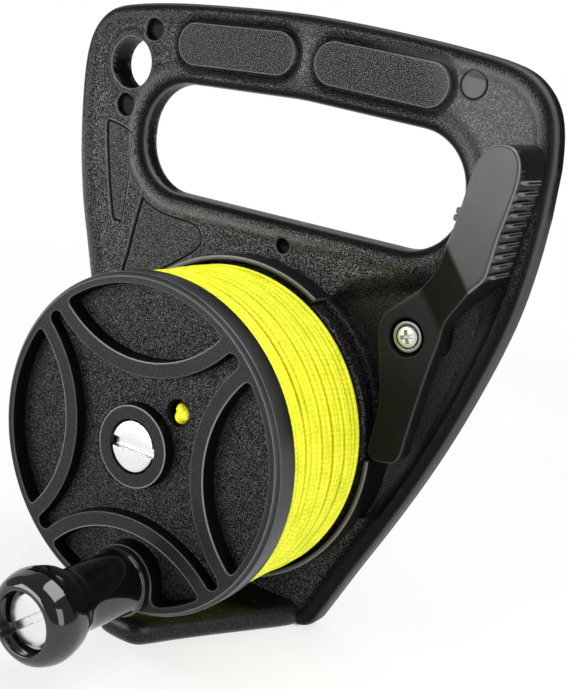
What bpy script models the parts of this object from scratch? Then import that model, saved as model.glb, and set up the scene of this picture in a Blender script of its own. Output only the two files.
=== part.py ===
"""Hand reel for a diver's line: a moulded frame with a handle, a crank spool and a thumb brake.

Units are metres. +Z is up, -Y is the front with the spool and the knob. The floor is Z = 0 and
the spool turns about a line along Y at X = 0. Depth means distance behind the spool's front edge.
"""
import math

import bmesh
import bpy
from mathutils import Vector

# Driving sizes
SPOOL_RADIUS = 0.0475
LINE_ZONE_WIDTH = 0.0374
PLATE_HEIGHT = 0.1795
PLATE_SIDE_MARGIN = 0.0317
PLATE_THICKNESS = 0.0100
SPOOL_RUNNING_GAP = 0.0045

# Clearances
SEAT_GAP = 0.0003
PLATE_BEHIND_SPOOL = 0.0007
EMBED = 0.0008
OVERSHOOT = 0.0020
MERGE = 0.000002

# Front flange of the spool
FACE_PROUD = 0.0012
CHAMFER_WIDTH = 0.0013
RIM_DEPTH = 0.0070
RIM_BACK_BREAK = 0.0006
RELIEF_MARGIN = 0.0030
RELIEF_TURN_DEG = 3.5
RELIEF_COUNT = 4
RIB_ARC_CENTRE = 0.0606
POCKET_ARC_RADIUS = 0.0364
RIB_WIDTH = 0.0042
POCKET_DEPTH = 0.0048
POCKET_TIP_DEG = 36.6
POCKET_TIP_TRIM_DEG = 2.4
STAR_DEPTH = 0.0036
STAR_ARM_END_RADIUS = 0.00226
BOSS_RADIUS = 0.0115
TIE_HOLE_RADIUS = 0.00375
TIE_HOLE_REACH = 0.0167
TIE_HOLE_DEG = 48.0

# Drum and hub
DRUM_RADIUS = 0.0225
DRUM_WALL = 0.0022
HUB_WALL = 0.0027
TAIL_PORT_RADIUS = 0.00150

# Rear flange of the spool
REAR_FLANGE_STEP = 0.0009
REAR_FLANGE_THICKNESS = 0.0049
REAR_FLANGE_BREAK = 0.0008
SPIGOT_WALL = 0.0024
SPIGOT_LENGTH = 0.0060

# Axle
AXLE_RADIUS = 0.0040
AXLE_HEAD_RADIUS = 0.0070
AXLE_HEAD_THICKNESS = 0.0034
AXLE_HEAD_SIDE_CLEARANCE = 0.0007
AXLE_SLOT_WIDTH = 0.0028
AXLE_SLOT_DEPTH = 0.0016
BUSH_WALL = 0.0012
FRONT_WASHER_RADIUS = 0.0072
FRONT_WASHER_THICKNESS = 0.0010
REAR_WASHER_RADIUS = 0.0120
REAR_WASHER_THICKNESS = 0.0015
NUT_WASHER_RADIUS = 0.0085
NUT_WASHER_THICKNESS = 0.0010
AXLE_NUT_FLATS = 0.0130
AXLE_NUT_THICKNESS = 0.0038
NUT_POCKET_RADIUS = 0.0102
NUT_RECESS = 0.0002

# Wound line
LINE_DIAMETER = 0.0021
LINE_PITCH = 0.00263
LINE_PACK_BELOW_RIM = 0.0008
LINE_POINTS_PER_TURN = 24
LINE_BEND_RADIUS = 0.0028
LINE_START_DEG = 236.0
LINE_CORE_GAP = 0.0003
KNOT_RADIUS = 0.0025
TAIL_BEND_RADIUS = 0.0034

# Crank knob
KNOB_X = 0.0025
KNOB_FROM_RIM = 0.0090
KNOB_BOSS_RADIUS = 0.0102
KNOB_LENGTH = 0.0385
KNOB_SHAFT_RADIUS = 0.0091
KNOB_BULB_RADIUS = 0.0130
KNOB_RECESS_RADIUS = 0.00835
KNOB_HEAD_RADIUS = 0.00685
KNOB_HEAD_THICKNESS = 0.0025
KNOB_HEAD_SUNK = 0.0029
KNOB_SLOT_WIDTH = 0.0022
KNOB_SLOT_DEPTH = 0.0012
KNOB_SLOT_DEG = 38.0
KNOB_WASHER_THICKNESS = 0.0008
KNOB_SCREW_RADIUS = 0.0025
INSERT_WALL = 0.0017
INSERT_LIP = 0.0006
KNOB_PROFILE_SHARES = (
    (0.000, 0.74), (0.000, 1.04), (0.035, 1.10), (0.075, 1.02), (0.300, 0.99), (0.480, 0.98),
    (0.560, 1.03), (0.620, 1.15), (0.680, 1.29), (0.750, 1.38), (0.820, 1.4286), (0.880, 1.40),
    (0.940, 1.31), (0.980, 1.18), (1.000, 1.04),
)

# Frame plate
PLATE_CENTRE_X = 0.0016
PLATE_EDGE_ROUND = 0.0034
PLATE_FOOT_LIFT = 0.0004
FOOT_CORNER_ROUND = 0.0080
FOOT_CORNER_SHARES = (0.410, -0.409)
PLATE_OUTLINE_SHARES = (
    (-0.478, 0.066), (-0.545, 0.130), (-0.630, 0.214),
    (-0.720, 0.308), (-0.786, 0.392), (-0.840, 0.472), (-0.892, 0.552), (-0.936, 0.620),
    (-0.968, 0.690), (-0.986, 0.750), (-0.995, 0.800), (-0.999, 0.850), (-0.992, 0.890),
    (-0.972, 0.922), (-0.930, 0.949), (-0.868, 0.967), (-0.760, 0.978), (-0.600, 0.987),
    (-0.420, 0.993), (-0.200, 0.998),
    (0.000, 1.000), (0.170, 0.998), (0.340, 0.994), (0.500, 0.989), (0.640, 0.983), (0.760, 0.976),
    (0.850, 0.965), (0.915, 0.945), (0.960, 0.918), (0.985, 0.885), (0.998, 0.845), (1.003, 0.800),
    (0.998, 0.750), (0.988, 0.690), (0.966, 0.620), (0.930, 0.552), (0.875, 0.472), (0.812, 0.392),
    (0.736, 0.308), (0.640, 0.214), (0.548, 0.130), (0.480, 0.066),
)

# Handle opening
LEFT_COLUMN_WIDTH = 0.0267
RIGHT_COLUMN_WIDTH = 0.0226
TOP_BAR_HEIGHT = 0.0227
OPENING_CROWN_RISE = 0.0021
OPENING_ABOVE_COLLAR = 0.0110
OPENING_CORNER_SHARE = 0.484
OPENING_LIP_ROUND = 0.0030

# Holes and marks in the plate
LANYARD_FROM_LEFT = 0.0202
LANYARD_BELOW_TOP = 0.0219
LANYARD_RADIUS = 0.00785
DIMPLES_FROM_LEFT_TOP = ((0.0272, 0.0109, 0.00325), (0.0192, 0.0349, 0.0035))
DIMPLE_X = 0.0053
DIMPLE_ABOVE_COLLAR = 0.0046
DIMPLE_RADIUS = 0.0023
DIMPLE_DEPTH = 0.0040

# Raised islands on the top bar, each in a groove
ISLANDS_BELOW_TOP = ((-0.02055, 0.0126, 0.0417, 0.0125, 2.4), (0.0284, 0.0129, 0.0426, 0.0123, -2.4))
ISLAND_GROOVE = 0.0018
ISLAND_GROOVE_DEPTH = 0.0016

# Sunken panels on the left column
PANEL_DEPTH = 0.0010
SLIM_PANEL = (
    (0.0127, 0.0280), (0.0146, 0.0295), (0.0231, 0.0275), (0.0239, 0.0260), (0.0229, 0.0010),
    (0.0211, -0.0008), (0.0189, 0.0002), (0.0151, 0.0150),
)
WEDGE_PANEL = (
    (0.0305, 0.0081), (0.0321, 0.0070), (0.0391, 0.0050), (0.0501, 0.0042), (0.0535, 0.0028),
    (0.0551, -0.0004), (0.0533, -0.0035), (0.0491, -0.0070), (0.0441, -0.0105), (0.0371, -0.0150),
    (0.0291, -0.0205), (0.0256, -0.0190), (0.0271, -0.0090), (0.0291, 0.0030),
)

# Collar round the rear flange and the bay for the brake
COLLAR_INNER_CLEARANCE = 0.0008
COLLAR_WALL = 0.0016
COLLAR_HEIGHT = 0.0070
COLLAR_OPEN_FROM_DEG = 2.0
COLLAR_OPEN_TO_DEG = 61.0
BAY_DEPTH = 0.0060
BAY_RIM_WIDTH = 0.0038
BAY_TOP_RIM = (
    (-0.0258, 0.0102), (-0.0173, 0.0137), (-0.0083, 0.0163), (-0.0003, 0.0185), (0.0067, 0.0210),
    (0.0127, 0.0250), (0.0182, 0.0282),
)
BAY_SIDE_SHARES = (0.690, 0.640, 0.585, 0.520, 0.455, 0.390, 0.330, 0.280, 0.240)
BAY_FLOOR_EDGE = (
    (-0.0238, 0.0037), (-0.0168, 0.0057), (-0.0093, 0.0082), (-0.0033, 0.0102), (0.0027, 0.0112),
    (0.0072, 0.0117), (0.0107, 0.0117), (0.0132, 0.0102), (0.0137, 0.0067), (0.0132, 0.0017),
    (0.0112, -0.0063), (0.0087, -0.0163), (0.0062, -0.0273), (0.0032, -0.0368), (-0.0008, -0.0453),
    (-0.0048, -0.0513),
)
BAY_END_DEG = -24.0

# Tongue that carries the reel on the floor
TONGUE_CENTRE_X = -0.0005
TONGUE_THICKNESS = 0.0080
TONGUE_EDGE_ROUND = 0.0026
TONGUE_NOSE_DEPTH = 0.0022
TONGUE_ROOT_SHARE = 0.72
TONGUE_OUTLINE_SHARES = (
    (1.00, 1.00), (0.985, 0.87), (0.800, 0.655), (0.575, 0.412), (0.410, 0.223), (0.275, 0.060),
    (0.180, 0.012), (0.063, 0.000),
)
TONGUE_HALF_WIDTH = 0.0318

# Brake lever
PIVOT_FROM_COLLAR = 0.01722
PIVOT_DEG = 36.4
PAD_THICKNESS = 0.0177
ARM_THICKNESS = 0.0062
LEVER_EDGE_ROUND = 0.0008
LEVER_OUTLINE = (
    (0.0229, 0.0561), (0.0257, 0.0550), (0.0275, 0.0515), (0.0276, 0.0467), (0.0267, 0.0407),
    (0.0255, 0.0342), (0.0247, 0.0277), (0.0239, 0.0227), (0.0215, 0.0195), (0.0167, 0.0137),
    (0.0122, 0.0082), (0.0103, 0.0047), (0.0097, 0.0007), (0.0083, -0.0068), (0.0069, -0.0158),
    (0.0055, -0.0263), (0.0046, -0.0331), (0.0029, -0.0357), (-0.0003, -0.0366), (-0.0033, -0.0367),
    (-0.0056, -0.0347), (-0.0053, -0.0293), (-0.0047, -0.0233), (-0.0051, -0.0173), (-0.0068, -0.0093),
    (-0.0085, -0.0023), (-0.0087, 0.0022), (-0.0071, 0.0057), (-0.0028, 0.0099), (0.0022, 0.0147),
    (0.0067, 0.0197), (0.0102, 0.0247), (0.0122, 0.0307), (0.0136, 0.0377), (0.0148, 0.0457),
    (0.0163, 0.0517), (0.0189, 0.0552),
)
CREASE_FROM_PIVOT = (0.0167, 0.0229)
CREASE_DEG = 218.5
RAMP_LENGTH = 0.0170
LEVER_HUB_RADIUS = 0.0088
LEVER_HUB_LIFT = 0.0011
LEVER_RECESS_RADIUS = 0.0053
LEVER_RECESS_DEPTH = 0.0036
GRIP_RIB_COUNT = 9
GRIP_RIB_PITCH = 0.0030
GRIP_RIB_WIDTH = 0.0014
GRIP_RIB_PROUD = 0.0011
GRIP_RIB_TOP_Z = 0.0868
GRIP_RIB_BACK_GAP = 0.0032
GRIP_RIB_FRONT_GAP = 0.0014

# Brake pivot hardware
SLEEVE_BARREL_RADIUS = 0.0035
SLEEVE_FLANGE_RADIUS = 0.00435
SLEEVE_FLANGE_THICKNESS = 0.0024
SLEEVE_CUP_RADIUS = 0.00335
SLEEVE_CUP_DEPTH = 0.0017
SLEEVE_SUNK = 0.0009
PIVOT_SCREW_RADIUS = 0.00165
PIVOT_HEAD_RADIUS = 0.0030
PIVOT_HEAD_THICKNESS = 0.0019
CROSS_WIDTH = 0.0008
CROSS_LENGTH = 0.0034
CROSS_DEPTH = 0.0009
PIVOT_NUT_FLATS = 0.0060
PIVOT_NUT_THICKNESS = 0.0020
PIVOT_WASHER_RADIUS = 0.0050
PIVOT_WASHER_THICKNESS = 0.0005
SPRING_POCKET_RADIUS = 0.0073
SPRING_HUB_RADIUS = 0.0050
SPRING_RADIUS = 0.0061
SPRING_WIRE = 0.0008
SPRING_PITCH = 0.0013
SPRING_TURNS = 2.5
SPRING_POINTS_PER_TURN = 10
SPRING_START_DEG = 100.0
SPRING_LEG_REACH = 0.0080
SPRING_SLOT_SWEEP_DEG = 14.0
SPRING_SLOT_DEPTH = 0.0018

# Facet counts
SPOOL_FACETS = 60
ROUND_FACETS = 32
SMALL_FACETS = 24
OUTLINE_STEPS = 2
ROUND_STEPS = 3

# Depths, radii and places that follow from the sizes above
AXIS_HEIGHT = TONGUE_THICKNESS + SPOOL_RUNNING_GAP + SPOOL_RADIUS
RELIEF_RADIUS = SPOOL_RADIUS - RELIEF_MARGIN
REAR_FLANGE_RADIUS = SPOOL_RADIUS - REAR_FLANGE_STEP
LINE_PACK_RADIUS = SPOOL_RADIUS - LINE_PACK_BELOW_RIM
KNOB_Z = KNOB_FROM_RIM - SPOOL_RADIUS
FACE_DEPTH = -FACE_PROUD
DRUM_END_DEPTH = RIM_DEPTH + LINE_ZONE_WIDTH - SEAT_GAP
REAR_FRONT_DEPTH = RIM_DEPTH + LINE_ZONE_WIDTH
REAR_BACK_DEPTH = REAR_FRONT_DEPTH + REAR_FLANGE_THICKNESS
SEAT_FLOOR_DEPTH = REAR_BACK_DEPTH + SEAT_GAP + REAR_WASHER_THICKNESS + SEAT_GAP
PLATE_FRONT_DEPTH = REAR_BACK_DEPTH + PLATE_BEHIND_SPOOL
PLATE_BACK_DEPTH = PLATE_FRONT_DEPTH + PLATE_THICKNESS
PLATE_TOP = PLATE_HEIGHT - AXIS_HEIGHT
BAY_FLOOR_DEPTH = PLATE_FRONT_DEPTH + BAY_DEPTH
ORIGIN_DEPTH = PLATE_BACK_DEPTH / 2
BUSH_INNER = AXLE_RADIUS + SEAT_GAP
BUSH_OUTER = BUSH_INNER + BUSH_WALL
HUB_INNER = BUSH_OUTER + SEAT_GAP
HUB_OUTER = HUB_INNER + HUB_WALL
HEAD_BACK_DEPTH = FACE_DEPTH + AXLE_HEAD_THICKNESS
FRONT_WASHER_DEPTH = HEAD_BACK_DEPTH + SEAT_GAP
BOSS_FLOOR_DEPTH = FRONT_WASHER_DEPTH + FRONT_WASHER_THICKNESS + SEAT_GAP
NUT_BACK_DEPTH = PLATE_BACK_DEPTH - NUT_RECESS
NUT_FRONT_DEPTH = NUT_BACK_DEPTH - AXLE_NUT_THICKNESS
NUT_WASHER_DEPTH = NUT_FRONT_DEPTH - SEAT_GAP - NUT_WASHER_THICKNESS
NUT_POCKET_DEPTH = NUT_WASHER_DEPTH - SEAT_GAP
COLLAR_INNER = REAR_FLANGE_RADIUS + COLLAR_INNER_CLEARANCE
COLLAR_OUTER = COLLAR_INNER + COLLAR_WALL
PLATE_HALF_WIDTH = COLLAR_OUTER + PLATE_SIDE_MARGIN
PLATE_LEFT = PLATE_CENTRE_X - PLATE_HALF_WIDTH
OPENING_LEFT = PLATE_LEFT + LEFT_COLUMN_WIDTH
OPENING_RIGHT = PLATE_CENTRE_X + PLATE_HALF_WIDTH - RIGHT_COLUMN_WIDTH
LANYARD_X = PLATE_LEFT + LANYARD_FROM_LEFT
PIVOT_X = (COLLAR_OUTER + PIVOT_FROM_COLLAR) * math.cos(math.radians(PIVOT_DEG))
PIVOT_Z = (COLLAR_OUTER + PIVOT_FROM_COLLAR) * math.sin(math.radians(PIVOT_DEG))
OPENING_TOP = PLATE_TOP - TOP_BAR_HEIGHT - OPENING_CROWN_RISE
OPENING_BOTTOM = COLLAR_OUTER + OPENING_ABOVE_COLLAR
TONGUE_ROOT_DEPTH = PLATE_FRONT_DEPTH + TONGUE_ROOT_SHARE * PLATE_THICKNESS
ARM_BACK_DEPTH = PLATE_FRONT_DEPTH - SEAT_GAP
ARM_FRONT_DEPTH = ARM_BACK_DEPTH - ARM_THICKNESS
PAD_FRONT_DEPTH = ARM_BACK_DEPTH - PAD_THICKNESS
HUB_BACK_DEPTH = BAY_FLOOR_DEPTH - SEAT_GAP - PIVOT_WASHER_THICKNESS - SEAT_GAP


def point(x, depth, z):
    """Place a reading (right, depth, up from the spool axis) in the world."""
    return Vector((x, depth - ORIGIN_DEPTH, z + AXIS_HEIGHT))


def clear_scene():
    for item in list(bpy.data.objects):
        bpy.data.objects.remove(item, do_unlink=True)


def mesh_object(name, vertices, faces):
    """Make one closed mesh with its faces turned outward."""
    mesh = bpy.data.meshes.new(name)
    mesh.from_pydata([tuple(v) for v in vertices], [], faces)
    work = bmesh.new()
    work.from_mesh(mesh)
    bmesh.ops.recalc_face_normals(work, faces=work.faces)
    work.to_mesh(mesh)
    work.free()
    item = bpy.data.objects.new(name, mesh)
    bpy.context.scene.collection.objects.link(item)
    return item


def loft(name, rings):
    """Join rings of equal count into one solid with flat ends."""
    count = len(rings[0])
    vertices = [v for ring in rings for v in ring]
    faces = []
    for row in range(len(rings) - 1):
        for i in range(count):
            j = (i + 1) % count
            faces.append((row * count + i, row * count + j, (row + 1) * count + j, (row + 1) * count + i))
    faces.append(tuple(range(count)))
    last = (len(rings) - 1) * count
    faces.append(tuple(last + i for i in range(count)))
    return mesh_object(name, vertices, faces)


def revolve(name, profile, facets, centre=(0.0, 0.0), phase=0.0):
    """Turn a closed profile of (radius, depth) pairs about a line along Y."""
    vertices = []
    columns = []
    for radius, depth in profile:
        column = []
        if radius == 0:
            column = [len(vertices)] * facets
            vertices.append(point(centre[0], depth, centre[1]))
        else:
            for i in range(facets):
                angle = phase + 2 * math.pi * i / facets
                column.append(len(vertices))
                vertices.append(point(centre[0] + radius * math.cos(angle), depth,
                                      centre[1] + radius * math.sin(angle)))
        columns.append(column)
    faces = []
    for a, b in zip(columns, columns[1:] + columns[:1]):
        for i in range(facets):
            j = (i + 1) % facets
            corners = []
            for corner in (a[i], a[j], b[j], b[i]):
                if corner not in corners:
                    corners.append(corner)
            if len(corners) > 2:
                faces.append(tuple(corners))
    return mesh_object(name, vertices, faces)


def cylinder(name, radius, front, back, centre, facets=ROUND_FACETS, phase=0.0):
    profile = ((0, front), (radius, front), (radius, back), (0, back))
    return revolve(name, profile, facets, centre, phase)


def tube_ring(name, inner, outer, front, back, centre=(0.0, 0.0), facets=ROUND_FACETS, phase=0.0):
    profile = ((inner, front), (outer, front), (outer, back), (inner, back))
    return revolve(name, profile, facets, centre, phase)


def combine(target, cutter, operation, solver='EXACT'):
    """Apply one Boolean and drop its tool."""
    cutter.hide_render = True
    cutter.display_type = 'WIRE'
    step = target.modifiers.new(operation.lower(), 'BOOLEAN')
    step.operation = operation
    step.solver = solver
    step.object = cutter
    bpy.context.view_layer.update()
    graph = bpy.context.evaluated_depsgraph_get()
    result = bpy.data.meshes.new_from_object(target.evaluated_get(graph))
    target.modifiers.clear()
    old = target.data
    target.data = result
    bpy.data.meshes.remove(old)
    bpy.data.objects.remove(cutter, do_unlink=True)
    work = bmesh.new()
    work.from_mesh(target.data)
    bmesh.ops.remove_doubles(work, verts=work.verts, dist=MERGE)
    bmesh.ops.dissolve_degenerate(work, edges=work.edges, dist=MERGE)
    bmesh.ops.triangulate(work, faces=[face for face in work.faces if len(face.verts) > 4])
    work.to_mesh(target.data)
    work.free()
    return target


def cut(target, *tools):
    for tool in tools:
        combine(target, tool, 'DIFFERENCE')
    return target


def join(target, *tools):
    for tool in tools:
        combine(target, tool, 'UNION')
    return target


def through(chain, steps):
    """Smooth curve through all points of a chain but its first and its last, which only steer it."""
    out = []
    for p0, p1, p2, p3 in zip(chain, chain[1:], chain[2:], chain[3:]):
        for k in range(steps):
            t = k / steps
            out.append(tuple(
                (2 * p1[a] + (p2[a] - p0[a]) * t + (2 * p0[a] - 5 * p1[a] + 4 * p2[a] - p3[a]) * t * t
                 + (3 * p1[a] - p0[a] - 3 * p2[a] + p3[a]) * t * t * t) / 2
                for a in range(2)))
    return out


def spline(points, steps):
    """Closed smooth curve through the given points."""
    points = list(points)
    return through(points[-1:] + points + points[:2], steps)


def area(points):
    total = 0.0
    for (x0, y0), (x1, y1) in zip(points, points[1:] + points[:1]):
        total += x0 * y1 - x1 * y0
    return total / 2


def offset(points, distance):
    """Move a closed outline outward by distance, or inward where it is negative."""
    sign = 1.0 if area(points) > 0 else -1.0
    out = []
    count = len(points)
    for i in range(count):
        ax, ay = points[i - 1]
        bx, by = points[i]
        cx, cy = points[(i + 1) % count]
        e1 = Vector((bx - ax, by - ay)).normalized()
        e2 = Vector((cx - bx, cy - by)).normalized()
        n1 = Vector((e1.y, -e1.x)) * sign
        n2 = Vector((e2.y, -e2.x)) * sign
        mid = (n1 + n2).normalized()
        reach = distance / max(mid.dot(n1), 0.5)
        out.append((bx + mid.x * reach, by + mid.y * reach))
    return out


def corner_round(before, corner, after, radius, steps):
    """Points of the round that replaces one corner."""
    b = Vector(corner)
    u = (Vector(before) - b).normalized()
    v = (Vector(after) - b).normalized()
    half = u.angle(v) / 2
    reach = radius / math.tan(half)
    centre = b + (u + v).normalized() * (radius / math.sin(half))
    start = b + u * reach
    end = b + v * reach
    first = math.atan2(start.y - centre.y, start.x - centre.x)
    last = math.atan2(end.y - centre.y, end.x - centre.x)
    sweep = (last - first + math.pi) % (2 * math.pi) - math.pi
    return arc(radius, math.degrees(first), math.degrees(first + sweep), steps, (centre.x, centre.y))


def rounded(corners, radii, steps):
    """Round each corner of a closed polygon with its own radius."""
    out = []
    for i, corner in enumerate(corners):
        out += corner_round(corners[i - 1], corner, corners[(i + 1) % len(corners)], radii[i], steps)
    return out


def slab(name, outline, front, back):
    """Straight block between two depths."""
    return loft(name, [[point(x, d, z) for x, z in outline] for d in (front, back)])


def round_slab(name, outline, front, back, radius, steps=ROUND_STEPS):
    """Block between two depths with both edges rounded."""
    rings = []
    for k in range(steps + 1):
        angle = k / steps * math.pi / 2
        inset = radius * (1 - math.sin(angle))
        depth = front + radius * (1 - math.cos(angle))
        rings.append([point(x, depth, z) for x, z in offset(outline, -inset)])
    for k in range(steps, -1, -1):
        angle = k / steps * math.pi / 2
        inset = radius * (1 - math.sin(angle))
        depth = back - radius * (1 - math.cos(angle))
        rings.append([point(x, depth, z) for x, z in offset(outline, -inset)])
    return loft(name, rings)


def flared_cutter(name, outline, front, back, radius, steps=ROUND_STEPS):
    """Through cutter whose mouths flare, so both lips of the hole come out rounded."""
    wide = offset(outline, radius)
    rings = [[point(x, front - OVERSHOOT, z) for x, z in wide]]
    for k in range(steps + 1):
        angle = k / steps * math.pi / 2
        depth = front + radius * (1 - math.cos(angle))
        rings.append([point(x, depth, z) for x, z in offset(outline, radius * (1 - math.sin(angle)))])
    for k in range(steps, -1, -1):
        angle = k / steps * math.pi / 2
        depth = back - radius * (1 - math.cos(angle))
        rings.append([point(x, depth, z) for x, z in offset(outline, radius * (1 - math.sin(angle)))])
    rings.append([point(x, back + OVERSHOOT, z) for x, z in wide])
    return loft(name, rings)


def polar(radius, degrees, centre=(0.0, 0.0)):
    angle = math.radians(degrees)
    return (centre[0] + radius * math.cos(angle), centre[1] + radius * math.sin(angle))


def arc(radius, start, end, steps, centre=(0.0, 0.0)):
    return [polar(radius, start + (end - start) * k / steps, centre) for k in range(steps + 1)]


def bend(a, corner, b, steps):
    """Quadratic curve from a to b that leans on a corner point."""
    out = []
    for k in range(1, steps):
        t = k / steps
        out.append(tuple(a[i] * (1 - t) ** 2 + corner[i] * 2 * t * (1 - t) + b[i] * t * t for i in range(2)))
    return out


def tube(name, path, diameter, resolution=1):
    """Round tube along a path, made from a curve with filled caps."""
    curve = bpy.data.curves.new(name, 'CURVE')
    curve.dimensions = '3D'
    curve.bevel_depth = diameter / 2
    curve.bevel_resolution = resolution
    curve.use_fill_caps = True
    run = curve.splines.new('POLY')
    run.points.add(len(path) - 1)
    for target, place in zip(run.points, path):
        target.co = (place.x, place.y, place.z, 1.0)
    maker = bpy.data.objects.new(name + '_path', curve)
    bpy.context.scene.collection.objects.link(maker)
    bpy.context.view_layer.update()
    graph = bpy.context.evaluated_depsgraph_get()
    mesh = bpy.data.meshes.new_from_object(maker.evaluated_get(graph))
    bpy.data.objects.remove(maker, do_unlink=True)
    work = bmesh.new()
    work.from_mesh(mesh)
    bmesh.ops.remove_doubles(work, verts=work.verts, dist=MERGE)
    bmesh.ops.recalc_face_normals(work, faces=work.faces)
    work.to_mesh(mesh)
    work.free()
    mesh.name = name
    item = bpy.data.objects.new(name, mesh)
    bpy.context.scene.collection.objects.link(item)
    return item


def least_gap(path, diameter, reach):
    """Least distance between the tube's walls at points more than reach apart along it."""
    fine = []
    for a, b in zip(path, path[1:]):
        for k in range(4):
            fine.append(a.lerp(b, k / 4))
    fine.append(path[-1])
    along = [0.0]
    for a, b in zip(fine, fine[1:]):
        along.append(along[-1] + (b - a).length)
    best = 1.0
    for i in range(0, len(fine), 2):
        for j in range(i + 1, len(fine)):
            if along[j] - along[i] > reach:
                gap = (fine[i] - fine[j]).length - diameter
                if gap < best:
                    best = gap
    return best


def hexagon(name, flats, front, back, centre, phase=0.0):
    return cylinder(name, flats / math.sqrt(3), front, back, centre, facets=6, phase=phase)


def plate_outline():
    """Shield outline: a smooth curve over both sides and the top, and two round corners at the foot."""
    height = PLATE_HEIGHT - PLATE_FOOT_LIFT
    foot = PLATE_FOOT_LIFT - AXIS_HEIGHT
    points = [(PLATE_CENTRE_X + x * PLATE_HALF_WIDTH, foot + z * height) for x, z in PLATE_OUTLINE_SHARES]
    right, left = [(PLATE_CENTRE_X + share * PLATE_HALF_WIDTH, foot) for share in FOOT_CORNER_SHARES]
    sides = through([left] + points + [right], OUTLINE_STEPS) + [points[-1]]
    steps = 3 * OUTLINE_STEPS
    return (sides + corner_round(points[-1], right, left, FOOT_CORNER_ROUND, steps)
            + corner_round(right, left, points[0], FOOT_CORNER_ROUND, steps))


def opening_outline():
    middle = (OPENING_LEFT + OPENING_RIGHT) / 2
    corners = ((OPENING_LEFT, OPENING_BOTTOM), (OPENING_RIGHT, OPENING_BOTTOM),
               (OPENING_RIGHT, OPENING_TOP), (middle, OPENING_TOP + OPENING_CROWN_RISE),
               (OPENING_LEFT, OPENING_TOP))
    crown_round = OPENING_RIGHT - OPENING_LEFT
    corner_radius = OPENING_CORNER_SHARE * (OPENING_TOP - OPENING_BOTTOM)
    radii = (corner_radius, corner_radius, corner_radius, crown_round, corner_radius)
    return offset(rounded(corners, radii, 8), -OPENING_LIP_ROUND / 3)


def stadium(centre, length, width, tilt, steps=8):
    """Long round-ended outline, turned by tilt degrees."""
    half = length / 2 - width / 2
    turn = math.radians(tilt)
    out = []
    for side, start in ((1, -90), (-1, 90)):
        for k in range(steps + 1):
            angle = math.radians(start + 180 * k / steps)
            x = side * half + width / 2 * math.cos(angle)
            z = width / 2 * math.sin(angle)
            out.append((centre[0] + x * math.cos(turn) - z * math.sin(turn),
                        centre[1] + x * math.sin(turn) + z * math.cos(turn)))
    return out


def by_pivot(points):
    """Places given from the brake's pivot, moved to it."""
    return [(PIVOT_X + x, PIVOT_Z + z) for x, z in points]


def bay_outlines(outline):
    """Rim and floor of the bay beside the collar; it opens into the collar where the collar is open."""
    inner_closed = COLLAR_INNER + COLLAR_WALL / 2
    inner_open = COLLAR_INNER - EMBED / 2
    inner = arc(inner_closed, BAY_END_DEG, COLLAR_OPEN_FROM_DEG - 1, 6)
    inner += arc(inner_open, COLLAR_OPEN_FROM_DEG + 1, COLLAR_OPEN_TO_DEG - 1, 12)
    inner.append(polar(inner_closed, COLLAR_OPEN_TO_DEG))
    rim = by_pivot(BAY_TOP_RIM)
    for share in BAY_SIDE_SHARES:
        z = share * PLATE_HEIGHT - AXIS_HEIGHT
        rim.append((wall_x(outline, z) - BAY_RIM_WIDTH, z))
    return inner + rim, inner + by_pivot(BAY_FLOOR_EDGE)


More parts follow.
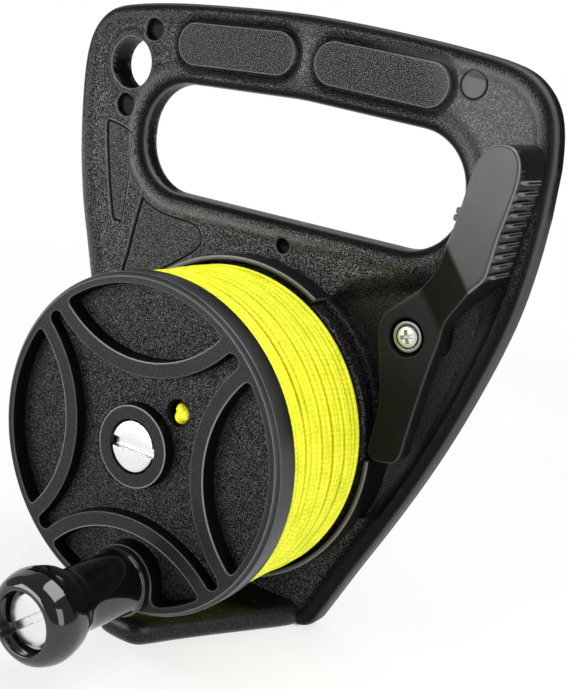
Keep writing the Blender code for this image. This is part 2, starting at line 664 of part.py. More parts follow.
def build_frame():
    outline = plate_outline()
    frame = round_slab('frame', outline, PLATE_FRONT_DEPTH, PLATE_BACK_DEPTH, PLATE_EDGE_ROUND)
    span = TONGUE_ROOT_DEPTH - TONGUE_NOSE_DEPTH
    right = [(TONGUE_CENTRE_X + x * TONGUE_HALF_WIDTH, TONGUE_NOSE_DEPTH + d * span)
             for x, d in TONGUE_OUTLINE_SHARES]
    left = [(2 * TONGUE_CENTRE_X - x, d) for x, d in reversed(right)]
    plan = right + left
    rings = []
    for k in range(ROUND_STEPS + 1):
        angle = k / ROUND_STEPS * math.pi / 2
        inset = TONGUE_EDGE_ROUND * (1 - math.sin(angle))
        height = TONGUE_EDGE_ROUND * (1 - math.cos(angle)) - AXIS_HEIGHT
        rings.append([point(x, d, height) for x, d in offset(plan, -inset)])
    for k in range(ROUND_STEPS, -1, -1):
        angle = k / ROUND_STEPS * math.pi / 2
        inset = TONGUE_EDGE_ROUND * (1 - math.sin(angle))
        height = TONGUE_THICKNESS - TONGUE_EDGE_ROUND * (1 - math.cos(angle)) - AXIS_HEIGHT
        rings.append([point(x, d, height) for x, d in offset(plan, -inset)])
    join(frame, loft('tongue', rings))

    cut(frame, cylinder('seat', COLLAR_INNER + EMBED / 2, PLATE_FRONT_DEPTH - OVERSHOOT, SEAT_FLOOR_DEPTH,
                        (0, 0), SPOOL_FACETS))
    bay, floor = bay_outlines(outline)
    rings = [[point(x, PLATE_FRONT_DEPTH - OVERSHOOT, z) for x, z in bay],
             [point(x, PLATE_FRONT_DEPTH, z) for x, z in bay],
             [point(x, BAY_FLOOR_DEPTH, z) for x, z in floor]]
    cut(frame, loft('bay', rings))

    bore = AXLE_RADIUS + SEAT_GAP
    profile = ((0, SEAT_FLOOR_DEPTH - OVERSHOOT), (bore, SEAT_FLOOR_DEPTH - OVERSHOOT), (bore, NUT_POCKET_DEPTH),
               (NUT_POCKET_RADIUS, NUT_POCKET_DEPTH), (NUT_POCKET_RADIUS, PLATE_BACK_DEPTH + OVERSHOOT),
               (0, PLATE_BACK_DEPTH + OVERSHOOT))
    cut(frame, revolve('axle_bore', profile, ROUND_FACETS))
    pivot = (PIVOT_X, PIVOT_Z)
    cut(frame, cylinder('pivot_bore', PIVOT_SCREW_RADIUS + SEAT_GAP, BAY_FLOOR_DEPTH - OVERSHOOT,
                        PLATE_BACK_DEPTH + OVERSHOOT, pivot, SMALL_FACETS))
    cut(frame, hexagon('pivot_pocket', PIVOT_NUT_FLATS + 2 * SEAT_GAP,
                       PLATE_BACK_DEPTH - NUT_RECESS - PIVOT_NUT_THICKNESS - SEAT_GAP,
                       PLATE_BACK_DEPTH + OVERSHOOT, pivot))
    wide = SPRING_WIRE / 2 + SEAT_GAP
    end_deg = SPRING_START_DEG + 360 * SPRING_TURNS
    slot = arc(SPRING_RADIUS + wide, end_deg - SPRING_SLOT_SWEEP_DEG, end_deg + SPRING_SLOT_SWEEP_DEG, 6, pivot)
    slot += arc(SPRING_RADIUS - wide, end_deg + SPRING_SLOT_SWEEP_DEG, end_deg - SPRING_SLOT_SWEEP_DEG, 6, pivot)
    cut(frame, slab('spring_slot', slot, BAY_FLOOR_DEPTH - OVERSHOOT, BAY_FLOOR_DEPTH + SPRING_SLOT_DEPTH))

    sweep_start = COLLAR_OPEN_TO_DEG
    sweep = 360.0 - (COLLAR_OPEN_TO_DEG - COLLAR_OPEN_FROM_DEG)
    steps = SPOOL_FACETS
    section = ((COLLAR_INNER, PLATE_FRONT_DEPTH - COLLAR_HEIGHT), (COLLAR_OUTER, PLATE_FRONT_DEPTH - COLLAR_HEIGHT),
               (COLLAR_OUTER, BAY_FLOOR_DEPTH + EMBED), (COLLAR_INNER, BAY_FLOOR_DEPTH + EMBED))
    rings = []
    for k in range(steps + 1):
        angle = sweep_start + sweep * k / steps
        rings.append([point(*(polar(r, angle)[0], d, polar(r, angle)[1])) for r, d in section])
    join(frame, loft('collar', rings))

    cut(frame, flared_cutter('opening', opening_outline(), PLATE_FRONT_DEPTH, PLATE_BACK_DEPTH, OPENING_LIP_ROUND))
    cut(frame, cylinder('lanyard', LANYARD_RADIUS, PLATE_FRONT_DEPTH - OVERSHOOT, PLATE_BACK_DEPTH + OVERSHOOT,
                        (LANYARD_X, PLATE_TOP - LANYARD_BELOW_TOP)))
    dimples = [(PLATE_LEFT + x, PLATE_TOP - below, radius) for x, below, radius in DIMPLES_FROM_LEFT_TOP]
    dimples.append((DIMPLE_X, COLLAR_OUTER + DIMPLE_ABOVE_COLLAR, DIMPLE_RADIUS))
    for i, (x, z, radius) in enumerate(dimples):
        cut(frame, cylinder('dimple_%d' % i, radius, PLATE_FRONT_DEPTH - OVERSHOOT,
                            PLATE_FRONT_DEPTH + DIMPLE_DEPTH, (x, z), SMALL_FACETS))
    for i, (x, below, length, width, tilt) in enumerate(ISLANDS_BELOW_TOP):
        centre = (x, PLATE_TOP - below)
        outer = stadium(centre, length + 2 * ISLAND_GROOVE, width + 2 * ISLAND_GROOVE, tilt)
        inner = stadium(centre, length, width, tilt)
        groove = slab('groove_%d' % i, outer, PLATE_FRONT_DEPTH - OVERSHOOT, PLATE_FRONT_DEPTH + ISLAND_GROOVE_DEPTH)
        island = slab('island_%d' % i, inner, PLATE_FRONT_DEPTH - 2 * OVERSHOOT,
                      PLATE_FRONT_DEPTH + 2 * ISLAND_GROOVE_DEPTH)
        cut(frame, cut(groove, island))
    for name, panel in (('slim_panel', SLIM_PANEL), ('wedge_panel', WEDGE_PANEL)):
        panel = [(PLATE_LEFT + x, COLLAR_OUTER + z) for x, z in panel]
        cut(frame, slab(name, spline(panel, 2), PLATE_FRONT_DEPTH - OVERSHOOT, PLATE_FRONT_DEPTH + PANEL_DEPTH))

    return frame


def pocket_outline(turn):
    """Lens between the rim and one curved rib, with rounded tips."""
    centre = polar(RIB_ARC_CENTRE, turn)
    tip = POCKET_TIP_DEG
    trimmed = tip - POCKET_TIP_TRIM_DEG
    outer = arc(RELIEF_RADIUS, turn - trimmed, turn + trimmed, 12)
    near = RELIEF_RADIUS - RELIEF_RADIUS * math.radians(POCKET_TIP_TRIM_DEG)
    cosine = (RIB_ARC_CENTRE ** 2 + POCKET_ARC_RADIUS ** 2 - near ** 2) / (2 * RIB_ARC_CENTRE * POCKET_ARC_RADIUS)
    half = math.degrees(math.acos(cosine))
    inner = arc(POCKET_ARC_RADIUS, turn + 180 - half, turn + 180 + half, 14, centre)
    upper = bend(outer[-1], polar(RELIEF_RADIUS, turn + tip), inner[0], 4)
    lower = bend(inner[-1], polar(RELIEF_RADIUS, turn - tip), outer[0], 4)
    return outer + upper + inner + lower


def star_outline():
    """Curved star between the ribs, each arm with a round end near the rim."""
    arc_radius = POCKET_ARC_RADIUS + RIB_WIDTH
    tip_centre = RELIEF_RADIUS - STAR_ARM_END_RADIUS
    cosine = (RIB_ARC_CENTRE ** 2 + arc_radius ** 2 - tip_centre ** 2) / (2 * RIB_ARC_CENTRE * arc_radius)
    half = math.degrees(math.acos(cosine))
    pitch = 360.0 / RELIEF_COUNT
    out = []
    for k in range(RELIEF_COUNT):
        turn = RELIEF_TURN_DEG + pitch * k
        centre = polar(RIB_ARC_CENTRE, turn)
        out += list(reversed(arc(arc_radius, turn + 180 - half, turn + 180 + half, 16, centre)))
        arm = turn + pitch / 2
        out += arc(STAR_ARM_END_RADIUS, arm - 80, arm + 80, 6, polar(tip_centre, arm))
    return out


def build_spool():
    profile = (
        (AXLE_HEAD_RADIUS + AXLE_HEAD_SIDE_CLEARANCE, FACE_DEPTH),
        (SPOOL_RADIUS - CHAMFER_WIDTH, FACE_DEPTH),
        (SPOOL_RADIUS, 0),
        (SPOOL_RADIUS, RIM_DEPTH - RIM_BACK_BREAK),
        (SPOOL_RADIUS - RIM_BACK_BREAK, RIM_DEPTH),
        (DRUM_RADIUS, RIM_DEPTH),
        (DRUM_RADIUS, DRUM_END_DEPTH),
        (DRUM_RADIUS - DRUM_WALL, DRUM_END_DEPTH),
        (DRUM_RADIUS - DRUM_WALL, RIM_DEPTH),
        (HUB_OUTER, RIM_DEPTH),
        (HUB_OUTER, REAR_BACK_DEPTH),
        (HUB_INNER, REAR_BACK_DEPTH),
        (HUB_INNER, BOSS_FLOOR_DEPTH),
        (AXLE_HEAD_RADIUS + AXLE_HEAD_SIDE_CLEARANCE, BOSS_FLOOR_DEPTH),
    )
    spool = revolve('spool_front', profile, SPOOL_FACETS)
    star = slab('star', star_outline(), FACE_DEPTH - OVERSHOOT, FACE_DEPTH + STAR_DEPTH)
    cut(star, cylinder('boss', BOSS_RADIUS, FACE_DEPTH - 2 * OVERSHOOT, FACE_DEPTH + 2 * STAR_DEPTH, (0, 0), 48))
    cut(spool, star)
    knob = (KNOB_X, KNOB_Z)
    for k in range(RELIEF_COUNT):
        turn = RELIEF_TURN_DEG + 360.0 / RELIEF_COUNT * k
        pocket = slab('pocket_%d' % k, pocket_outline(turn), FACE_DEPTH - OVERSHOOT, FACE_DEPTH + POCKET_DEPTH)
        if k == RELIEF_COUNT - 1:
            cut(pocket, cylinder('knob_boss', KNOB_BOSS_RADIUS, FACE_DEPTH - 2 * OVERSHOOT,
                                 FACE_DEPTH + 2 * POCKET_DEPTH, knob, 40))
        cut(spool, pocket)
    cut(spool, cylinder('tie_hole', TIE_HOLE_RADIUS, FACE_DEPTH - OVERSHOOT, RIM_DEPTH + OVERSHOOT,
                        polar(TIE_HOLE_REACH, TIE_HOLE_DEG), SMALL_FACETS))
    cut(spool, cylinder('knob_bore', KNOB_SCREW_RADIUS + SEAT_GAP, FACE_DEPTH - OVERSHOOT,
                        RIM_DEPTH + OVERSHOOT, knob, SMALL_FACETS))
    insert_radius = KNOB_SCREW_RADIUS + SEAT_GAP + INSERT_WALL
    cut(spool, cylinder('insert_bore', insert_radius + SEAT_GAP, FACE_DEPTH + INSERT_LIP,
                        RIM_DEPTH + OVERSHOOT, knob, SMALL_FACETS))
    port = []
    outward = Vector((math.cos(math.radians(TIE_HOLE_DEG)), 0, math.sin(math.radians(TIE_HOLE_DEG))))
    across = Vector((-outward.z, 0, outward.x))
    rise = Vector((0, 1, 0))
    middle = point(0, tail_depth(), 0)
    for reach in (DRUM_RADIUS - DRUM_WALL - OVERSHOOT, DRUM_RADIUS + OVERSHOOT):
        ring = []
        for k in range(SMALL_FACETS // 2):
            angle = 2 * math.pi * k / (SMALL_FACETS // 2)
            ring.append(middle + outward * reach + across * (TAIL_PORT_RADIUS * math.cos(angle))
                        + rise * (TAIL_PORT_RADIUS * math.sin(angle)))
        port.append(ring)
    cut(spool, loft('tail_port', port))
    return spool


def tail_depth():
    """Depth at which the line's end leaves the drum through its port."""
    return RIM_DEPTH + SEAT_GAP + TAIL_PORT_RADIUS + LINE_DIAMETER


def build_rear_flange():
    spigot_outer = DRUM_RADIUS - DRUM_WALL - SEAT_GAP
    inner = HUB_OUTER + SEAT_GAP
    profile = (
        (inner, REAR_FRONT_DEPTH),
        (spigot_outer - SPIGOT_WALL, REAR_FRONT_DEPTH),
        (spigot_outer - SPIGOT_WALL, REAR_FRONT_DEPTH - SPIGOT_LENGTH),
        (spigot_outer, REAR_FRONT_DEPTH - SPIGOT_LENGTH),
        (spigot_outer, REAR_FRONT_DEPTH),
        (REAR_FLANGE_RADIUS - REAR_FLANGE_BREAK, REAR_FRONT_DEPTH),
        (REAR_FLANGE_RADIUS, REAR_FRONT_DEPTH + REAR_FLANGE_BREAK),
        (REAR_FLANGE_RADIUS, REAR_BACK_DEPTH - REAR_FLANGE_BREAK),
        (REAR_FLANGE_RADIUS - REAR_FLANGE_BREAK, REAR_BACK_DEPTH),
        (inner, REAR_BACK_DEPTH),
    )
    return revolve('spool_rear', profile, SPOOL_FACETS)


def build_line():
    """Packed inner layers as one ring, the outer layer as one wound tube, and the tied end."""
    front = RIM_DEPTH + SEAT_GAP
    back = DRUM_END_DEPTH
    winding_radius = LINE_PACK_RADIUS - LINE_DIAMETER / 2
    sag = 1 - math.cos(math.pi / LINE_POINTS_PER_TURN)
    core_radius = winding_radius * (1 - sag) - LINE_DIAMETER / 2 - LINE_CORE_GAP
    core = tube_ring('line_core', DRUM_RADIUS + SEAT_GAP, core_radius, front, back, (0, 0), SPOOL_FACETS)

    first = front + LINE_DIAMETER / 2 + SEAT_GAP / 3
    last = back - LINE_DIAMETER / 2 - SEAT_GAP / 3
    turns = (last - first) / LINE_PITCH
    count = int(turns * LINE_POINTS_PER_TURN)
    step = 360.0 / LINE_POINTS_PER_TURN
    helix = []
    for k in range(count + 1):
        x, z = polar(winding_radius, LINE_START_DEG + step * k)
        helix.append(point(x, first + LINE_PITCH * k / LINE_POINTS_PER_TURN, z))

    def dive(at, away):
        """Points that turn from the helix's end into the core, the last stretch straight."""
        degrees = math.degrees(math.atan2(at.z - AXIS_HEIGHT, at.x))
        out_x, out_z = polar(1.0, degrees)
        inward = Vector((-out_x, 0, -out_z))
        points = []
        for k in range(1, 5):
            angle = math.pi / 2 * k / 4
            points.append(at + away * (LINE_BEND_RADIUS * math.sin(angle))
                          + inward * (LINE_BEND_RADIUS * (1 - math.cos(angle))))
        points.append(points[-1] + inward * LINE_DIAMETER)
        return points, inward

    notches = []
    paths = []
    for at, following in ((helix[0], helix[1]), (helix[-1], helix[-2])):
        away = (at - following).normalized()
        away.y = 0
        points, inward = dive(at, away)
        paths.append(points)
        side = inward.cross(Vector((0, 1, 0)))
        half = LINE_DIAMETER / 2 + SEAT_GAP
        bottom = points[-1] + inward * SEAT_GAP
        top = bottom - inward * (LINE_DIAMETER + 2 * LINE_BEND_RADIUS)
        toward = -1 if away.dot(side) > 0 else 1
        length = LINE_BEND_RADIUS + half
        rings = []
        for place in (bottom, top):
            rings.append([place + side * a + Vector((0, b, 0)) for a, b in (
                (-toward * half, -half), (toward * length, -half), (toward * length, half), (-toward * half, half))])
        notches.append(loft('notch', rings))
    cut(core, *notches)
    path = list(reversed(paths[0])) + helix + paths[1]
    winding = tube('line_winding', path, LINE_DIAMETER)
    gap = least_gap(path, LINE_DIAMETER, 4 * LINE_BEND_RADIUS)
    print('least gap of the wound line to itself: %.2f mm' % (gap * 1000))

    out_x, out_z = polar(1.0, TIE_HOLE_DEG)
    outward = Vector((out_x, 0, out_z))
    forward = Vector((0, -1, 0))
    start = point(0, tail_depth(), 0) + outward * DRUM_RADIUS
    tail = [start, start - outward * LINE_DIAMETER]
    corner = point(0, tail_depth(), 0) + outward * (TIE_HOLE_REACH + TAIL_BEND_RADIUS)
    tail.append(corner)
    for k in range(1, 6):
        angle = math.pi / 2 * k / 5
        tail.append(corner - outward * (TAIL_BEND_RADIUS * math.sin(angle))
                    + forward * (TAIL_BEND_RADIUS * (1 - math.cos(angle))))
    floor = FACE_DEPTH + STAR_DEPTH
    end = point(0, floor, 0) + outward * TIE_HOLE_REACH
    tail.append(end)
    tied = tube('line_tail', tail, LINE_DIAMETER)
    knot_centre = polar(TIE_HOLE_REACH, TIE_HOLE_DEG)
    steps = 8
    profile = [(KNOT_RADIUS * math.sin(math.pi * k / steps), floor - KNOT_RADIUS * math.cos(math.pi * k / steps))
               for k in range(steps + 1)]
    profile[0] = (0, profile[0][1])
    profile[-1] = (0, profile[-1][1])
    join(tied, revolve('knot', profile, 16, knot_centre))
    return core, winding, tied


def build_axle():
    head_front = FACE_DEPTH
    profile = (
        (0, head_front),
        (AXLE_HEAD_RADIUS, head_front),
        (AXLE_HEAD_RADIUS, HEAD_BACK_DEPTH),
        (AXLE_RADIUS, HEAD_BACK_DEPTH),
        (AXLE_RADIUS, NUT_BACK_DEPTH),
        (0, NUT_BACK_DEPTH),
    )
    bolt = revolve('axle_bolt', profile, ROUND_FACETS)
    wide = AXLE_HEAD_RADIUS + OVERSHOOT
    half = AXLE_SLOT_WIDTH / 2
    slot = ((-wide, -half), (wide, -half), (wide, half), (-wide, half))
    cut(bolt, slab('axle_slot', slot, head_front - OVERSHOOT, head_front + AXLE_SLOT_DEPTH))
    front = tube_ring('axle_washer_front', AXLE_RADIUS + SEAT_GAP, FRONT_WASHER_RADIUS, FRONT_WASHER_DEPTH,
                      FRONT_WASHER_DEPTH + FRONT_WASHER_THICKNESS)
    bush = tube_ring('axle_bush', BUSH_INNER, BUSH_OUTER, BOSS_FLOOR_DEPTH, REAR_BACK_DEPTH)
    rear = tube_ring('axle_washer_rear', AXLE_RADIUS + SEAT_GAP, REAR_WASHER_RADIUS, REAR_BACK_DEPTH + SEAT_GAP,
                     REAR_BACK_DEPTH + SEAT_GAP + REAR_WASHER_THICKNESS)
    flat = tube_ring('axle_nut_washer', AXLE_RADIUS + SEAT_GAP, NUT_WASHER_RADIUS, NUT_WASHER_DEPTH,
                     NUT_WASHER_DEPTH + NUT_WASHER_THICKNESS)
    nut = hexagon('axle_nut', AXLE_NUT_FLATS, NUT_FRONT_DEPTH, NUT_BACK_DEPTH, (0, 0))
    cut(nut, cylinder('nut_bore', AXLE_RADIUS + SEAT_GAP, NUT_FRONT_DEPTH - OVERSHOOT,
                      NUT_BACK_DEPTH + OVERSHOOT, (0, 0)))
    return bolt, front, bush, rear, flat, nut


def build_knob():
    base = FACE_DEPTH - SEAT_GAP
    centre = (KNOB_X, KNOB_Z)
    bore = KNOB_SCREW_RADIUS + SEAT_GAP
    face = base - KNOB_LENGTH
    head_face = face + KNOB_HEAD_SUNK
    head_back = head_face + KNOB_HEAD_THICKNESS
    washer_front = head_back + SEAT_GAP
    recess_floor = washer_front + KNOB_WASHER_THICKNESS + SEAT_GAP
    profile = [(bore, base)]
    for along, share in KNOB_PROFILE_SHARES[1:]:
        profile.append((KNOB_SHAFT_RADIUS * share, base - along * KNOB_LENGTH))
    profile.append((KNOB_RECESS_RADIUS, face))
    profile.append((KNOB_RECESS_RADIUS, recess_floor))
    profile.append((bore, recess_floor))
    knob = revolve('crank_knob', profile, ROUND_FACETS, centre)
    insert_back = RIM_DEPTH - SEAT_GAP
    screw_profile = (
        (0, head_face), (KNOB_HEAD_RADIUS, head_face), (KNOB_HEAD_RADIUS, head_back),
        (KNOB_SCREW_RADIUS, head_back), (KNOB_SCREW_RADIUS, insert_back), (0, insert_back),
    )
    screw = revolve('knob_screw', screw_profile, ROUND_FACETS, centre)
    long = KNOB_HEAD_RADIUS + OVERSHOOT
    half = KNOB_SLOT_WIDTH / 2
    turn = math.radians(KNOB_SLOT_DEG)
    slot = []
    for a, b in ((-long, -half), (long, -half), (long, half), (-long, half)):
        slot.append((centre[0] + a * math.cos(turn) - b * math.sin(turn),
                     centre[1] + a * math.sin(turn) + b * math.cos(turn)))
    cut(screw, slab('knob_slot', slot, head_face - OVERSHOOT, head_face + KNOB_SLOT_DEPTH))
    washer = tube_ring('knob_washer', bore, KNOB_HEAD_RADIUS, washer_front,
                       washer_front + KNOB_WASHER_THICKNESS, centre)
    insert = tube_ring('knob_insert', bore, bore + INSERT_WALL, FACE_DEPTH + INSERT_LIP + SEAT_GAP,
                       insert_back, centre, SMALL_FACETS)
    return knob, screw, washer, insert


def build_lever():
    outline = spline(by_pivot(LEVER_OUTLINE), 2)
    inset = offset(outline, -LEVER_EDGE_ROUND)
    rings = [[point(x, PAD_FRONT_DEPTH, z) for x, z in inset],
             [point(x, PAD_FRONT_DEPTH + LEVER_EDGE_ROUND, z) for x, z in outline],
             [point(x, ARM_BACK_DEPTH, z) for x, z in outline]]
    lever = loft('brake_lever', rings)

    along = Vector((math.cos(math.radians(CREASE_DEG)), math.sin(math.radians(CREASE_DEG))))
    side = Vector((-along.y, along.x))
    far = 6 * RAMP_LENGTH
    front = PAD_FRONT_DEPTH - 2 * OVERSHOOT
    section = ((0, PAD_FRONT_DEPTH), (RAMP_LENGTH, ARM_FRONT_DEPTH), (far, ARM_FRONT_DEPTH), (far, front),
               (-OVERSHOOT, front), (-OVERSHOOT, PAD_FRONT_DEPTH - OVERSHOOT / 2))
    rings = []
    for reach in (-far / 2, far / 2):
        ring = []
        for s, d in section:
            place = Vector(by_pivot([CREASE_FROM_PIVOT])[0]) + along * s + side * reach
            ring.append(point(place.x, d, place.y))
        rings.append(ring)
    cut(lever, loft('ramp', rings))

    pivot = (PIVOT_X, PIVOT_Z)
    join(lever, cylinder('hub', LEVER_HUB_RADIUS, ARM_FRONT_DEPTH + LEVER_HUB_LIFT, HUB_BACK_DEPTH, pivot, 40))
    pocket_floor = HUB_BACK_DEPTH - SPRING_TURNS * SPRING_PITCH - 2 * SPRING_WIRE
    cut(lever, tube_ring('spring_pocket', SPRING_HUB_RADIUS, SPRING_POCKET_RADIUS, pocket_floor,
                         HUB_BACK_DEPTH + OVERSHOOT, pivot))
    wide = SPRING_WIRE / 2 + SEAT_GAP
    begin = Vector(polar(1.0, SPRING_START_DEG))
    normal = Vector((-begin.y, begin.x))
    slot = []
    for reach, half in ((SPRING_RADIUS, -wide), (SPRING_LEG_REACH + SEAT_GAP, -wide),
                        (SPRING_LEG_REACH + SEAT_GAP, wide), (SPRING_RADIUS, wide)):
        place = Vector(pivot) + begin * reach + normal * half
        slot.append((place.x, place.y))
    cut(lever, slab('leg_slot', slot, pocket_floor, HUB_BACK_DEPTH + OVERSHOOT))
    recess_floor = ARM_FRONT_DEPTH + LEVER_RECESS_DEPTH
    cut(lever, cylinder('lever_recess', LEVER_RECESS_RADIUS, ARM_FRONT_DEPTH - OVERSHOOT, recess_floor, pivot))
    cut(lever, cylinder('lever_bore', SLEEVE_BARREL_RADIUS + SEAT_GAP, ARM_FRONT_DEPTH - OVERSHOOT,
                        HUB_BACK_DEPTH + OVERSHOOT, pivot))
    for i in range(GRIP_RIB_COUNT):
        z = GRIP_RIB_TOP_Z - i * GRIP_RIB_PITCH
        x = wall_x(outline, z)
        half = GRIP_RIB_WIDTH / 2
        rib = ((x - EMBED, z - half), (x + GRIP_RIB_PROUD, z - half / 2), (x + GRIP_RIB_PROUD, z + half / 2),
               (x - EMBED, z + half))
        join(lever, slab('rib_%d' % i, rib, PAD_FRONT_DEPTH + GRIP_RIB_FRONT_GAP, ARM_BACK_DEPTH - GRIP_RIB_BACK_GAP))
    return lever, pocket_floor, recess_floor


def wall_x(outline, z):
    """Rightmost crossing of an outline at one height."""
    best = -1.0
    for (x0, z0), (x1, z1) in zip(outline, outline[1:] + outline[:1]):
        if (z0 - z) * (z1 - z) <= 0 and z0 != z1:
            best = max(best, x0 + (x1 - x0) * (z - z0) / (z1 - z0))
    return best


def build_pivot(pocket_floor, recess_floor):
    pivot = (PIVOT_X, PIVOT_Z)
    flange_back = recess_floor - SEAT_GAP
    flange_front = flange_back - SLEEVE_FLANGE_THICKNESS
    cup_floor = flange_front + SLEEVE_CUP_DEPTH
    bore = PIVOT_SCREW_RADIUS + SEAT_GAP
    sleeve_back = BAY_FLOOR_DEPTH - SEAT_GAP
    profile = (
        (bore, cup_floor), (SLEEVE_CUP_RADIUS, cup_floor), (SLEEVE_CUP_RADIUS, flange_front),
        (SLEEVE_FLANGE_RADIUS, flange_front), (SLEEVE_FLANGE_RADIUS, flange_back),
        (SLEEVE_BARREL_RADIUS, flange_back), (SLEEVE_BARREL_RADIUS, sleeve_back), (bore, sleeve_back),
    )
    sleeve = revolve('lever_sleeve', profile, ROUND_FACETS, pivot)
    head_back = cup_floor - SEAT_GAP
    head_front = head_back - PIVOT_HEAD_THICKNESS
    screw_back = PLATE_BACK_DEPTH - NUT_RECESS
    crown = PIVOT_HEAD_THICKNESS / 3
    profile = (
        (0, head_front), (PIVOT_HEAD_RADIUS - crown, head_front), (PIVOT_HEAD_RADIUS, head_front + crown),
        (PIVOT_HEAD_RADIUS, head_back), (PIVOT_SCREW_RADIUS, head_back), (PIVOT_SCREW_RADIUS, screw_back),
        (0, screw_back),
    )
    screw = revolve('lever_screw', profile, SMALL_FACETS, pivot)
    long = CROSS_LENGTH / 2
    half = CROSS_WIDTH / 2
    cross = [(-long, -half), (-half, -half), (-half, -long), (half, -long), (half, -half), (long, -half),
             (long, half), (half, half), (half, long), (-half, long), (-half, half), (-long, half)]
    cross = [(PIVOT_X + x, PIVOT_Z + z) for x, z in cross]
    cut(screw, slab('cross', cross, head_front - OVERSHOOT, head_front + CROSS_DEPTH))
    washer_back = BAY_FLOOR_DEPTH - SEAT_GAP
    washer = tube_ring('lever_washer', SLEEVE_BARREL_RADIUS + SEAT_GAP, PIVOT_WASHER_RADIUS,
                       washer_back - PIVOT_WASHER_THICKNESS, washer_back, pivot)
    nut = hexagon('lever_nut', PIVOT_NUT_FLATS, screw_back - PIVOT_NUT_THICKNESS, screw_back, pivot)
    cut(nut, cylinder('lever_nut_bore', bore, screw_back - PIVOT_NUT_THICKNESS - OVERSHOOT,
                      screw_back + OVERSHOOT, pivot, SMALL_FACETS))

    begin = pocket_floor + SPRING_WIRE / 2 + SEAT_GAP
    path = []
    leg_x, leg_z = polar(SPRING_LEG_REACH, SPRING_START_DEG, pivot)
    path.append(point(leg_x, begin, leg_z))
    count = int(SPRING_TURNS * SPRING_POINTS_PER_TURN)
    for k in range(1, count + 1):
        x, z = polar(SPRING_RADIUS, SPRING_START_DEG + 360.0 * k / SPRING_POINTS_PER_TURN, pivot)
        if k == 1:
            near_x, near_z = polar(SPRING_RADIUS + SPRING_WIRE, SPRING_START_DEG + 4, pivot)
            path.append(point(near_x, begin, near_z))
            mid_x, mid_z = polar(SPRING_RADIUS, SPRING_START_DEG + 14, pivot)
            path.append(point(mid_x, begin, mid_z))
        path.append(point(x, begin + SPRING_PITCH * k / SPRING_POINTS_PER_TURN, z))
    last = path[-1]
    path.append(Vector((last.x, point(0, BAY_FLOOR_DEPTH + SPRING_SLOT_DEPTH - SEAT_GAP, 0).y, last.z)))
    spring = tube('lever_spring', path, SPRING_WIRE)
    gap = least_gap(path, SPRING_WIRE, 3 * SPRING_RADIUS)
    print('least gap of the spring to itself: %.2f mm' % (gap * 1000))
    return sleeve, screw, washer, nut, spring


def material(name, colour, roughness, metallic):
    made = bpy.data.materials.new(name)
    made.use_nodes = True
    shader = made.node_tree.nodes['Principled BSDF']
    shader.inputs['Base Color'].default_value = (colour[0], colour[1], colour[2], 1.0)
    shader.inputs['Roughness'].default_value = roughness
    shader.inputs['Metallic'].default_value = metallic
    made.diffuse_color = (colour[0], colour[1], colour[2], 1.0)
    return made


def finish(item, origin, colour, roughness, metallic, smooth=True):
    """Give a piece its origin, its material and its shading."""
    for vertex in item.data.vertices:
        vertex.co -= origin
    item.location = origin
    item.data.name = item.name
    item.data.materials.clear()
    item.data.materials.append(material(item.name, colour, roughness, metallic))
    if smooth:
        item.data.shade_smooth()
        item.data.set_sharp_from_angle(angle=math.radians(32))
    return item


def build():
    clear_scene()
    floor = Vector((0, 0, 0))
    axis = point(0, 0, 0)
    knob_axis = point(KNOB_X, 0, KNOB_Z)
    pivot_axis = point(PIVOT_X, BAY_FLOOR_DEPTH, PIVOT_Z)
    black = (0.022, 0.022, 0.024)
    satin = (0.030, 0.030, 0.032)
    gloss = (0.012, 0.012, 0.013)
    steel = (0.78, 0.78, 0.80)
    grey = (0.45, 0.45, 0.47)
    brass = (0.72, 0.55, 0.26)
    nylon = (0.80, 0.79, 0.74)
    yellow = (0.84, 0.90, 0.02)

    finish(build_frame(), floor, black, 0.62, 0.0)
    finish(build_spool(), axis, black, 0.50, 0.0)
    finish(build_rear_flange(), axis, black, 0.50, 0.0)
    for item in build_line():
        finish(item, axis, yellow, 0.75, 0.0)
    bolt, front, bush, rear, flat, nut = build_axle()
    finish(bolt, axis, steel, 0.28, 1.0)
    finish(front, axis, nylon, 0.50, 0.0)
    finish(bush, axis, brass, 0.35, 1.0)
    finish(rear, axis, nylon, 0.50, 0.0)
    finish(flat, axis, steel, 0.35, 1.0)
    finish(nut, axis, steel, 0.35, 1.0)
    knob, screw, washer, insert = build_knob()
    finish(knob, knob_axis, gloss, 0.12, 0.0)
    finish(screw, knob_axis, steel, 0.25, 1.0)
    finish(washer, knob_axis, steel, 0.35, 1.0)
    finish(insert, knob_axis, brass, 0.35, 1.0)
    lever, pocket_floor, recess_floor = build_lever()
    finish(lever, pivot_axis, satin, 0.38, 0.0)
    sleeve, pin, thin, lock, spring = build_pivot(pocket_floor, recess_floor)
    finish(sleeve, pivot_axis, grey, 0.40, 1.0)
    finish(pin, pivot_axis, steel, 0.30, 1.0)
    finish(thin, pivot_axis, nylon, 0.50, 0.0)
    finish(lock, pivot_axis, steel, 0.35, 1.0)
    finish(spring, pivot_axis, steel, 0.35, 1.0)


build()
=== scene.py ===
import bmesh
import bpy
import numpy as np
from mathutils import Matrix, Vector
from mathutils.geometry import delaunay_2d_cdt

